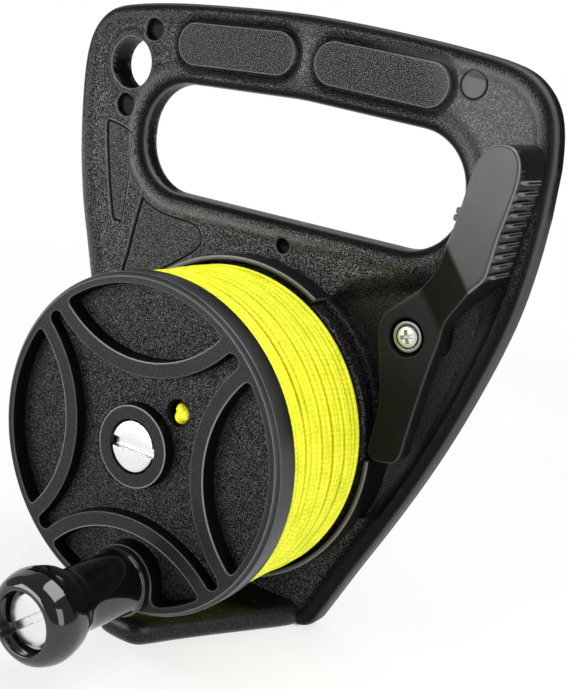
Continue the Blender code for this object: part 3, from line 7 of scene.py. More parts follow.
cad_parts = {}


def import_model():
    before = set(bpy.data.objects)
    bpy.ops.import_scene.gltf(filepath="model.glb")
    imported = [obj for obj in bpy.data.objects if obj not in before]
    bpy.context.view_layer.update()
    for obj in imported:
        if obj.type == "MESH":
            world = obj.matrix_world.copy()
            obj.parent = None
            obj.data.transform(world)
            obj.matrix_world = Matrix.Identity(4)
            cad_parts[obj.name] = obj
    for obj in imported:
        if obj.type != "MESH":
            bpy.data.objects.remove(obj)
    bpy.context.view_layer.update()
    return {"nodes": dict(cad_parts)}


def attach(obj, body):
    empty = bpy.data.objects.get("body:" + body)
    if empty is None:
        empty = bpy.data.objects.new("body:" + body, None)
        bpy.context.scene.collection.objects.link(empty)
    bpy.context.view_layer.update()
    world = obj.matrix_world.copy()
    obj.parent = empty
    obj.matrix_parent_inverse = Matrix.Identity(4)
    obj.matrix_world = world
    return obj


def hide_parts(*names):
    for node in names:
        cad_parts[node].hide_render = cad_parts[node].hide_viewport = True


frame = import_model()
NODES = frame["nodes"]

# Sizes repeated from the part's source. Readings are in millimetres: x to the right of the spool
# axis, depth behind the front flange's edge, z above the axis.
AXIS_HEIGHT = 60.0
ORIGIN_DEPTH = 30.0
FACE_DEPTH = -1.2
RIM_DEPTH = 7.0
RELIEF_RADIUS = 44.5
RELIEF_TURN = 3.5
RIB_ARC_CENTRE = 60.6
POCKET_ARC_RADIUS = 36.4
RIB_WIDTH = 4.2
POCKET_DEPTH = 4.8
STAR_DEPTH = 3.6
STAR_ARM_END = 2.26
BOSS_RADIUS = 11.5
KNOB_PLACE = np.array([2.5, -38.5])
KNOB_BOSS_RADIUS = 10.2


def world(x, depth, z):
    """Readings in millimetres as points of the frame in metres, one row each."""
    x, depth, z = np.broadcast_arrays(np.asarray(x, float), depth, z)
    return np.stack([x, depth - ORIGIN_DEPTH, z + AXIS_HEIGHT], axis=-1) * 0.001


# Shapes

def placed(name, mesh, material, body, replaces):
    """Object of a mesh, riding on its body and standing in for the nodes that it replaces."""
    mesh.materials.append(material)
    item = bpy.data.objects.new(name, mesh)
    bpy.context.scene.collection.objects.link(item)
    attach(item, body)
    if replaces:
        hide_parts(*replaces)
    return item


def piece(name, vertices, faces, material, body, replaces=(), sharp_degrees=None, layers=None):
    """Closed mesh from rows of points: doubled points are merged and faces turned outward. Layers are
    values per point that the materials read."""
    mesh = bpy.data.meshes.new(name)
    mesh.from_pydata(vertices.reshape(-1, 3), [], faces)
    for title, values in (layers or {}).items():
        layer = mesh.attributes.new(title, "FLOAT", "POINT")
        layer.data.foreach_set("value", np.asarray(values, np.float32).ravel())
    work = bmesh.new()
    work.from_mesh(mesh)
    bmesh.ops.remove_doubles(work, verts=work.verts, dist=1e-7)
    bmesh.ops.recalc_face_normals(work, faces=work.faces)
    work.to_mesh(mesh)
    work.free()
    mesh.shade_smooth()
    if sharp_degrees is not None:
        mesh.set_sharp_from_angle(angle=np.radians(sharp_degrees))
    return placed(name, mesh, material, body, replaces)


def grid_faces(rows, columns, closed_rows=False):
    """Quads of a grid of points whose rows are rings; closed rows join the last ring to the first."""
    index = np.arange(rows * columns).reshape(rows, columns)
    if closed_rows:
        index = np.vstack([index, index[:1]])
    index = np.hstack([index, index[:, :1]])
    return np.stack([index[:-1, :-1], index[:-1, 1:], index[1:, 1:], index[1:, :-1]], axis=-1).reshape(-1, 4)


def capped_faces(rows):
    """Quads along rings of points, with the first and the last ring filled."""
    count, sides = rows.shape[:2]
    last = (count - 1) * sides
    return grid_faces(count, sides).tolist() + [list(range(sides)), list(range(last, last + sides))]


def heading(angle):
    """Unit vector, or rows of them, at an angle."""
    return np.stack([np.cos(angle), np.sin(angle)], axis=-1)


def away_from(points, centre=(0.0, 0.0)):
    """Distance of each point from a centre."""
    return np.hypot(*(points - centre).T)


def arc(radius, start, end, count, centre=(0.0, 0.0)):
    """Points of a circular arc, its ends in degrees."""
    return centre + radius * heading(np.radians(np.linspace(start, end, count)))


def circle(radius, count, centre=(0.0, 0.0)):
    """Evenly spaced points round a circle."""
    return arc(radius, 0, 360, count + 1, centre)[:-1]


def lattice(x_low, x_high, z_low, z_high, spacing):
    """Square grid of points, as rows."""
    x, z = np.meshgrid(np.arange(x_low, x_high, spacing), np.arange(z_low, z_high, spacing))
    return np.stack([x.ravel(), z.ravel()], axis=-1)


def turned(profile, columns, centre=(0.0, 0.0)):
    """Surface of revolution: centre + radius (cos a, sin a) at each (radius, depth) of the profile."""
    profile = np.asarray(profile, float)
    angle = np.linspace(0, 2 * np.pi, columns, endpoint=False)
    radius = profile[:, :1] * np.ones(columns)
    return world(centre[0] + radius * np.cos(angle), profile[:, 1:2], centre[1] + radius * np.sin(angle))


def softened(profile, radius, steps=4):
    """Profile whose corners are rounded: each corner becomes a short parabola of the given reach."""
    profile = np.asarray(profile, float)
    before, corner, after = profile[:-2], profile[1:-1], profile[2:]
    back, ahead = before - corner, after - corner
    reach_back = np.minimum(radius, np.linalg.norm(back, axis=1) * 0.48)[:, None]
    reach_ahead = np.minimum(radius, np.linalg.norm(ahead, axis=1) * 0.48)[:, None]
    start = corner + back / np.maximum(np.linalg.norm(back, axis=1)[:, None], 1e-9) * reach_back
    end = corner + ahead / np.maximum(np.linalg.norm(ahead, axis=1)[:, None], 1e-9) * reach_ahead
    t = np.linspace(0, 1, steps + 1)[None, :, None]
    curve = start[:, None] * (1 - t) ** 2 + corner[:, None] * 2 * t * (1 - t) + end[:, None] * t ** 2
    return np.vstack([profile[:1], curve.reshape(-1, 2), profile[-1:]])


def turned_ring(name, profile, columns, centre, material, body, replaces=(), soften=0.0, sharp_degrees=None):
    """Turned piece from a closed profile of (radius, depth), its corners softened by a reach."""
    if soften:
        profile = softened(profile[-1:] + profile + profile[:1], soften)[1:-1]
    rows = turned(profile, columns, centre)
    return piece(name, rows, grid_faces(len(rows), columns, closed_rows=True), material, body, replaces,
                 sharp_degrees)


# Materials

def node(tree, kind, inputs=(), **settings):
    """New shader node, whose inputs are plain values or the sockets that feed them."""
    made = tree.nodes.new("ShaderNode" + kind)
    for title, value in settings.items():
        setattr(made, title, value)
    for place, value in dict(inputs).items():
        if isinstance(value, bpy.types.NodeSocket):
            tree.links.new(value, made.inputs[place])
        else:
            made.inputs[place].default_value = value
    return made


def worked_out(tree, operation, *values):
    """Result of one step of arithmetic on numbers or sockets."""
    return node(tree, "Math", enumerate(values), operation=operation).outputs[0]


def mixed(tree, factor, a, b, **settings):
    """A and B mixed by a factor."""
    return node(tree, "Mix", {"Factor": factor, "A": a, "B": b}, **settings).outputs["Result"]


def layer_value(tree, title):
    """A layer of the mesh."""
    return node(tree, "Attribute", attribute_name=title).outputs["Fac"]


def grey(level):
    """Colour with no hue."""
    return (level, level, level)


def shader(name, colour, roughness, metallic=0.0, specular=0.5):
    """New material, with its node tree and the sockets of its surface."""
    material = bpy.data.materials.new(name)
    material.use_nodes = True
    surface = material.node_tree.nodes["Principled BSDF"].inputs
    surface["Base Color"].default_value = (*colour, 1.0)
    surface["Roughness"].default_value = roughness
    surface["Metallic"].default_value = metallic
    surface["Specular IOR Level"].default_value = specular
    return material, material.node_tree, surface


def object_places(tree, stretch=(1, 1, 1)):
    """Places on the piece itself, each axis multiplied by its stretch."""
    places = node(tree, "TexCoord").outputs["Object"]
    return node(tree, "Mapping", {"Scale": stretch, "Vector": places}).outputs["Vector"]


def noise(tree, vector, scale, detail, rough):
    """Noise of a given number of grains per metre."""
    inputs = {"Scale": scale, "Detail": detail, "Roughness": rough, "Vector": vector}
    return node(tree, "TexNoise", inputs).outputs["Fac"]


def ramp(tree, value, stops):
    """Colours or grey levels between stops along a value."""
    band = node(tree, "ValToRGB", {"Fac": value})
    elements = band.color_ramp.elements
    while len(elements) < len(stops):
        elements.new(0.5)
    for element, (position, level) in zip(elements, stops):
        element.position = position
        element.color = (*(level if isinstance(level, tuple) else grey(level)), 1.0)
    return band.outputs["Color"]


def bump(tree, height, strength, distance):
    """Relief finer than the mesh, from a height."""
    inputs = {"Strength": strength, "Distance": distance, "Height": height}
    return node(tree, "Bump", inputs).outputs["Normal"]


def grained_plastic(name, dark, pale, roughness, grain_size, depth, specular, speckle=1.0,
                    share_from=None, pebbled=True, wear_and_highlight_grey=0.30):
    """Moulded plastic: fine pebbles whose tops are glossier than the valleys and painted paler, as painted
    glints; patchy sheen; a sheen layer that paints a paler colour, as painted sheen; and pale edges where the
    mesh's layer of pale edges says so, partly wear and partly painted highlight. The grain is even or follows a
    layer too."""
    material, tree, surface = shader(name, dark, roughness)
    vector = object_places(tree)
    pebbles = noise(tree, vector, 1.0 / grain_size, 1.0, 0.5)
    # Pebble tops painted paler than the valleys: painted glints.
    tops = ramp(tree, pebbles, ((0.51, 0.0), (0.65, 1.0))) if pebbled else 1.0
    share = layer_value(tree, share_from) if share_from else speckle
    level = mixed(tree, share, layer_value(tree, "sheen"), tops, data_type="FLOAT")
    gloss = ramp(tree, level, ((0.0, specular[0]), (1.0, specular[1])))
    # Base colour from dark to pale by that level: painted glints on pebble tops, painted sheen from the sheen
    # layer.
    tone = ramp(tree, level, ((0.0, dark), (1.0, pale)))
    # Pale edges from the mesh's layer: partly wear, partly painted highlight.
    colour = mixed(tree, layer_value(tree, "wear_and_highlight"), tone, (*grey(wear_and_highlight_grey), 1.0), data_type="RGBA")
    patches = noise(tree, vector, 55.0, 3.0, 0.6)
    dulled = ramp(tree, patches, ((0.3, roughness - 0.04), (0.7, roughness + 0.05)))
    for title, value in (("Specular IOR Level", gloss), ("Base Color", colour), ("Roughness", dulled),
                         ("Normal", bump(tree, pebbles, share, depth))):
        tree.links.new(value, surface[title])
    return material


def metal(name, colour, roughness):
    """Turned metal: fine tool marks and small changes of sheen."""
    material, tree, surface = shader(name, colour, roughness, metallic=1.0)
    marks = noise(tree, object_places(tree, TOOL_MARKS), 1.0, 3.0, 0.6)
    tree.links.new(ramp(tree, marks, ((0.2, roughness - 0.07), (0.8, roughness + 0.10))), surface["Roughness"])
    tree.links.new(bump(tree, marks, 0.06, 0.00003), surface["Normal"])
    return material


TOOL_MARKS = (40, 40, 900)
INK = (0.004, 0.004, 0.005)
COAL = (0.012, 0.012, 0.013)
FRAME_PLASTIC = grained_plastic("frame_pebbled_black", INK, grey(0.165), 0.30, 0.00025, 0.00022, (0.05, 0.95),
                                share_from="grain")
COLLAR_PLASTIC = grained_plastic("collar_smooth_black", INK, COAL, 0.30, 0.00045, 0.00002, (0.3, 0.4), 0.2)
TONGUE_PLASTIC = grained_plastic("tongue_black", INK, grey(0.030), 0.27, 0.00036, 0.00008, (0.22, 0.7), 0.55)
RIB_PLASTIC = grained_plastic("rib_satin_black", INK, COAL, 0.28, 0.00030, 0.00001, (0.25, 0.3), 0.2, wear_and_highlight_grey=0.5)
SPOOL_PLASTIC = grained_plastic("spool_fine_black", INK, grey(0.032), 0.28, 0.00025, 0.00014, (0.05, 0.70),
                                share_from="grain")
FLANGE_PLASTIC = grained_plastic("rear_flange_black", INK, grey(0.06), 0.30, 0.00040, 0.00016, (0.05, 0.6))
LEVER_PLASTIC = grained_plastic("lever_satin_black", (0.008, 0.008, 0.009), (0.020, 0.020, 0.021), 0.26,
                                0.00030, 0.00001, (0.02, 0.36), share_from="grain", pebbled=False)
KNOB_PLASTIC = grained_plastic("knob_gloss_black", INK, INK, 0.08, 0.00300, 0.00001, (0.75, 0.75), 0.2)
BRIGHT_STEEL = metal("bright_steel", (0.80, 0.80, 0.79), 0.26)
GREY_STEEL = metal("grey_steel", (0.20, 0.20, 0.21), 0.34)
DULL_STEEL = metal("dull_steel", grey(0.62), 0.50)
BRASS = metal("brass", (0.78, 0.58, 0.28), 0.26)
NYLON = grained_plastic("nylon_white", (0.66, 0.65, 0.60), (0.74, 0.73, 0.69), 0.40, 0.00060, 0.00002,
                        (0.3, 0.5), 0.5)
WHITE = grey(1.0)


def braided_line(name, shade, colour, light, groove, pitch=2.8):
    """Braided line: two crossing sets of plait strands along the lay map, darker in their valleys as painted
    shade, with slow changes of yellow, a darker amber groove between neighbouring turns as painted shade, and
    a faint glow of its own colour that is painted light."""
    material, tree, surface = shader(name, colour, 0.55, specular=0.3)
    lay = node(tree, "SeparateXYZ", {0: node(tree, "UVMap", uv_map="lay").outputs["UV"]}).outputs
    along = worked_out(tree, "MULTIPLY", lay["X"], 2 * np.pi / pitch)
    strands = [worked_out(tree, "SINE", worked_out(tree, "MULTIPLY_ADD", lay["Y"], side * 3 * 2 * np.pi, along))
               for side in (1, -1)]
    vector = object_places(tree)
    fuzz = noise(tree, vector, 1500.0, 2.0, 0.7)
    slow = noise(tree, vector, 160.0, 3.0, 0.6)
    relief = worked_out(tree, "MULTIPLY_ADD", worked_out(tree, "MULTIPLY", *strands), 0.20, fuzz)
    # Plait valleys darker: painted shade.
    tone = ramp(tree, relief, ((0.22, shade), (0.48, colour), (0.72, light)))
    mottle = ramp(tree, slow, ((0.36, (0.80, 0.87, 0.35)), (0.60, WHITE)))
    # Amber where the section turns to its neighbours: painted shade between turns.
    crest = worked_out(tree, "SINE", worked_out(tree, "MULTIPLY", lay["Y"], 2 * np.pi))
    sides = ramp(tree, crest, ((0.15, groove), (0.62, WHITE)))
    product = {"data_type": "RGBA", "blend_type": "MULTIPLY"}
    shaded = mixed(tree, 1.0, mixed(tree, 0.85, tone, mottle, **product), sides, **product)
    for title, value in (("Base Color", shaded), ("Emission Color", shaded),
                         ("Normal", bump(tree, relief, 0.7, 0.00022))):
        tree.links.new(value, surface[title])
    # Faint glow of the line's own colour: painted light.
    surface["Emission Strength"].default_value = 0.05
    return material


LINE_BRAID = braided_line("line_braid_yellow", (0.66, 0.72, 0.012), (0.86, 0.87, 0.028), (0.96, 0.94, 0.065),
                          (0.88, 0.55, 0.10))
# Darker amber copy of the line for the layers under the winding: painted shade.
LINE_SHADE = grained_plastic("line_under_layers_shaded", (0.62, 0.42, 0.010), (0.80, 0.62, 0.015), 0.7, 0.00050,
                             0.00015, (0.1, 0.2))

FINISHES = {
    "frame": COLLAR_PLASTIC, "spool_front": SPOOL_PLASTIC, "spool_rear": FLANGE_PLASTIC,
    "line_core": LINE_SHADE, "line_winding": LINE_SHADE, "line_tail": LINE_SHADE,
    "axle_bolt": BRIGHT_STEEL, "axle_washer_front": NYLON, "axle_bush": NYLON, "axle_washer_rear": NYLON,
    "axle_nut_washer": GREY_STEEL, "axle_nut": GREY_STEEL, "crank_knob": KNOB_PLASTIC,
    "knob_screw": BRIGHT_STEEL, "knob_washer": GREY_STEEL, "knob_insert": BRASS,
    "brake_lever": LEVER_PLASTIC, "lever_sleeve": GREY_STEEL, "lever_screw": BRIGHT_STEEL,
    "lever_washer": NYLON, "lever_nut": GREY_STEEL, "lever_spring": GREY_STEEL,
}
for name, finish in FINISHES.items():
    slots = NODES[name].data.materials
    slots.clear()
    slots.append(finish)


# Frame

PLATE_FRONT = 50.0
PLATE_BACK = 60.0
PLATE_TOP = 119.5
PLATE_LEFT = -79.1
PLATE_CENTRE = 1.6
PLATE_HALF_WIDTH = 80.7
PLATE_HEIGHT = 179.5
FOOT_LIFT = 0.4
FOOT_ROUND = 8.0
PLATE_EDGE_ROUND = 3.4
COLLAR_INNER = 47.4
COLLAR_OUTER = 49.0
COLLAR_FRONT = 43.0
COLLAR_BACK = 56.5
BAY_FLOOR = 56.0
LIP_WIDTH = 4.0
WEB_DROP = 0.9
LIP_DEPTH = 3.2
LANYARD = np.array([-58.9, 97.6])
LANYARD_RADIUS = 7.85
# Round marks as (x, z, radius), raised islands as (x, z, length, width, tilt in degrees).
DIMPLES = ((-51.9, 108.6, 3.25), (-59.9, 84.6, 3.5), (5.3, 53.6, 2.3))
MARK = (56.2, 107.8, 3.75)
ISLANDS = ((-20.55, 106.9, 41.7, 12.5, 2.4), (28.4, 106.6, 42.6, 12.3, -2.4))
PIVOT = np.array([53.3, 39.3])
NUT_POCKET_RADIUS = 10.2
NUT_POCKET_FLOOR = 54.4
PIVOT_POCKET_FLOOR = 57.5
TONGUE_TOP = -52.0
TONGUE_BOTTOM = -60.0
TONGUE_HALF_WIDTH = 31.8
TONGUE_FRONT = 2.2
TONGUE_LENGTH = 55.0
TONGUE_ROLL = 3.7
# Outline as shares of the plate's half width and of its height, from the foot's left round to its right.
OUTLINE_SHARES = np.array([
    (-0.478, 0.066), (-0.545, 0.130), (-0.630, 0.214), (-0.720, 0.308), (-0.786, 0.392), (-0.840, 0.472),
    (-0.892, 0.552), (-0.936, 0.620), (-0.968, 0.690), (-0.986, 0.750), (-0.995, 0.800), (-0.999, 0.850),
    (-0.992, 0.890), (-0.972, 0.922), (-0.930, 0.949), (-0.868, 0.967), (-0.760, 0.978), (-0.600, 0.987),
    (-0.420, 0.993), (-0.200, 0.998), (0.000, 1.000), (0.170, 0.998), (0.340, 0.994), (0.500, 0.989),
    (0.640, 0.983), (0.760, 0.976), (0.850, 0.965), (0.915, 0.945), (0.960, 0.918), (0.985, 0.885),
    (0.998, 0.845), (1.003, 0.800), (0.998, 0.750), (0.988, 0.690), (0.966, 0.620), (0.930, 0.552),
    (0.875, 0.472), (0.812, 0.392), (0.736, 0.308), (0.640, 0.214), (0.548, 0.130), (0.480, 0.066)])
PANEL_CORNER = np.array([PLATE_LEFT, 49.0])
SLIM_PANEL = np.array([
    (12.7, 28.0), (14.6, 29.5), (23.1, 27.5), (23.9, 26.0), (22.9, 1.0), (21.1, -0.8), (18.9, 0.2),
    (15.1, 15.0)])
WEDGE_PANEL = np.array([
    (30.5, 8.1), (32.1, 7.0), (39.1, 5.0), (50.1, 4.2), (53.5, 2.8), (55.1, -0.4), (53.3, -3.5), (49.1, -7.0),
    (44.1, -10.5), (37.1, -15.0), (29.1, -20.5), (25.6, -19.0), (27.1, -9.0), (29.1, 3.0)])
BAY_TOP_RIM = np.array([
    (-25.8, 10.2), (-17.3, 13.7), (-8.3, 16.3), (-0.3, 18.5), (6.7, 21.0), (12.7, 25.0), (18.2, 28.2)])
BAY_SIDE_SHARES = (0.690, 0.640, 0.585, 0.520, 0.455, 0.390, 0.330, 0.280, 0.240)
BAY_FLOOR_EDGE = np.array([
    (-23.8, 3.7), (-16.8, 5.7), (-9.3, 8.2), (-3.3, 10.2), (2.7, 11.2), (7.2, 11.7), (10.7, 11.7),
    (13.2, 10.2), (13.7, 6.7), (13.2, 1.7), (11.2, -6.3), (8.7, -16.3), (6.2, -27.3), (3.2, -36.8),
    (-0.8, -45.3), (-4.8, -51.3)])


def through(chain, steps):
    """Catmull-Rom curve through all points of a chain but its first and last, which only steer it."""
    chain = np.asarray(chain, float)
    p0, p1, p2, p3 = (chain[k:len(chain) - 3 + k, None] for k in range(4))
    t = (np.arange(steps) / steps)[None, :, None]
    curve = (2 * p1 + (p2 - p0) * t + (2 * p0 - 5 * p1 + 4 * p2 - p3) * t ** 2
             + (3 * p1 - p0 - 3 * p2 + p3) * t ** 3) / 2
    return curve.reshape(-1, 2)


def closed_spline(points, steps):
    """The same curve round a closed outline."""
    return through(np.vstack([points[-1:], points, points[:2]]), steps)


def corner_round(before, corner, after, radius, count):
    """Points of the round that replaces one corner."""
    u = (before - corner) / np.hypot(*(before - corner))
    v = (after - corner) / np.hypot(*(after - corner))
    half = np.arccos(np.clip(u @ v, -1, 1)) / 2
    middle = (u + v) / np.hypot(*(u + v))
    centre = corner + middle * radius / np.sin(half)
    start, end = corner + u * radius / np.tan(half) - centre, corner + v * radius / np.tan(half) - centre
    first = np.degrees(np.arctan2(start[1], start[0]))
    sweep = (np.degrees(np.arctan2(end[1], end[0])) - first + 180) % 360 - 180
    return arc(radius, first, first + sweep, count, centre)


def evenly(outline, spacing):
    """Closed outline as evenly spaced points, going anticlockwise."""
    ends = np.vstack([outline, outline[:1]])
    run = np.concatenate([[0], np.cumsum(np.hypot(*np.diff(ends, axis=0).T))])
    place = np.linspace(0, run[-1], int(round(run[-1] / spacing)), endpoint=False)
    points = np.stack([np.interp(place, run, ends[:, 0]), np.interp(place, run, ends[:, 1])], axis=-1)
    turning = np.cross(points, np.roll(points, -1, axis=0)).sum()
    return points if turning > 0 else points[::-1]


def moved_out(outline, distance):
    """Anticlockwise outline moved outward by a distance along its smoothed normals."""
    run = np.roll(outline, -1, axis=0) - np.roll(outline, 1, axis=0)
    normal = np.stack([run[:, 1], -run[:, 0]], axis=-1) / np.hypot(*run.T)[:, None]
    return outline + normal * distance


def edge_distance(points, outline, far=12.0):
    """Distance from each point to a closed outline, positive inside; beyond far it is only a rough value."""
    low, high = outline.min(0) - far, outline.max(0) + far
    result = np.full(len(points), -far)
    near = np.flatnonzero(((points > low) & (points < high)).all(1))
    ends = np.roll(outline, -1, axis=0)
    run = ends - outline
    length2 = np.maximum((run ** 2).sum(1), 1e-12)
    for first in range(0, len(near), 3000):
        rows = near[first:first + 3000]
        part = points[rows]
        gap = part[:, None] - outline[None]
        t = np.clip((gap * run).sum(2) / length2, 0, 1)
        best = np.sqrt(((gap - t[..., None] * run) ** 2).sum(2).min(1))
        above = (outline[None, :, 1] > part[:, None, 1]) != (ends[None, :, 1] > part[:, None, 1])
        slope = run[None, :, 0] / np.where(np.abs(run[:, 1]) < 1e-12, 1e-12, run[:, 1])[None]
        crossed = part[:, None, 0] < outline[None, :, 0] + (part[:, None, 1] - outline[None, :, 1]) * slope
        inside = (above & crossed).sum(1) % 2 == 1
        result[rows] = np.where(inside, best, -best)
    return result


def stadium_distance(points, island):
    """Distance outside a long round-ended island: distance to its middle segment, less half its width."""
    x, z, length, width, tilt = island
    turn = np.radians(tilt)
    away = points - (x, z)
    along = away @ heading(turn)
    side = away @ heading(turn + np.pi / 2)
    return np.hypot(np.maximum(np.abs(along) - (length - width) / 2, 0), side) - width / 2


def stadium(island):
    """Long round-ended outline, turned by its tilt."""
    x, z, length, width, tilt = island
    half = (length - width) / 2
    ends = np.vstack([arc(width / 2, -90, 90, 30, (half, 0)), arc(width / 2, 90, 270, 30, (-half, 0))])
    turn = np.radians(tilt)
    return ends @ np.stack([heading(turn), heading(turn + np.pi / 2)]) + (x, z)


def plate_outline():
    """Plate's outline: a curve through its shares of half width and height, closed by a foot with two rounds.
    It is clipped to the reach of the solid."""
    foot = FOOT_LIFT - AXIS_HEIGHT
    points = np.stack([PLATE_CENTRE + OUTLINE_SHARES[:, 0] * PLATE_HALF_WIDTH,
                       foot + OUTLINE_SHARES[:, 1] * (PLATE_HEIGHT - FOOT_LIFT)], axis=-1)
    right = np.array([PLATE_CENTRE + 0.410 * PLATE_HALF_WIDTH, foot])
    left = np.array([PLATE_CENTRE - 0.409 * PLATE_HALF_WIDTH, foot])
    sides = through(np.vstack([left, points, right]), 6)
    outline = evenly(np.vstack([sides, points[-1:], corner_round(points[-1], right, left, FOOT_ROUND, 12),
                                corner_round(right, left, points[0], FOOT_ROUND, 12)]), 0.9)
    return np.clip(outline, (PLATE_LEFT + 0.085, -AXIS_HEIGHT), (PLATE_CENTRE + PLATE_HALF_WIDTH, PLATE_TOP))


def opening_outline():
    """Grip opening: a box with four round corners and a slightly raised middle of its top."""
    left, right, low, high, bend = -52.4, 59.7, 60.0, 94.7, 16.8
    top = ((left + right) / 2, high + 2.1)
    corners = np.array([(left, low), (right, low), (right, high), top, (left, high)])
    radii = (bend, bend, bend, right - left, bend)
    parts = [corner_round(corners[k - 1], corners[k], corners[(k + 1) % 5], radii[k], 24) for k in range(5)]
    return evenly(moved_out(evenly(np.vstack(parts), 0.8), -1.0), 0.8)


def bay_outlines(outline):
    """Rim and floor of the bay beside the collar."""
    inner = np.vstack([arc(48.2, -24.0, 1.0, 12), arc(47.0, 3.0, 60.0, 30), arc(48.2, 61.0, 61.0, 1)])
    heights = np.array(BAY_SIDE_SHARES) * PLATE_HEIGHT - AXIS_HEIGHT
    right = outline[outline[:, 0] > 0]
    right = right[np.argsort(right[:, 1])]
    side = np.stack([np.interp(heights, right[:, 1], right[:, 0]) - 3.8, heights], axis=-1)
    rim = np.vstack([inner, PIVOT + BAY_TOP_RIM, side])
    return rim, np.vstack([inner, PIVOT + BAY_FLOOR_EDGE])


OUTLINE = plate_outline()
OPENING = opening_outline()
BAY_RIM, BAY_FLOOR_LOOP = bay_outlines(OUTLINE)
SLIM = evenly(closed_spline(PANEL_CORNER + SLIM_PANEL, 8), 0.7)
WEDGE = evenly(closed_spline(PANEL_CORNER + WEDGE_PANEL, 8), 0.9)


def quarter(inside, width):
    """Drop of a rounded edge: 1 at the edge, 0 once a width inside it, along a quarter circle."""
    t = np.clip(1 - inside / width, 0, 1)
    return 1 - np.sqrt(1 - t ** 2)


def rise(value, start, end):
    """Smooth step from 0 at start to 1 at end."""
    t = np.clip((value - start) / (end - start), 0, 1)
    return t * t * (3 - 2 * t)


def line_at(distance, place, width):
    """Narrow band of wear along a distance's level line."""
    return np.exp(-((distance - place) / width) ** 2)


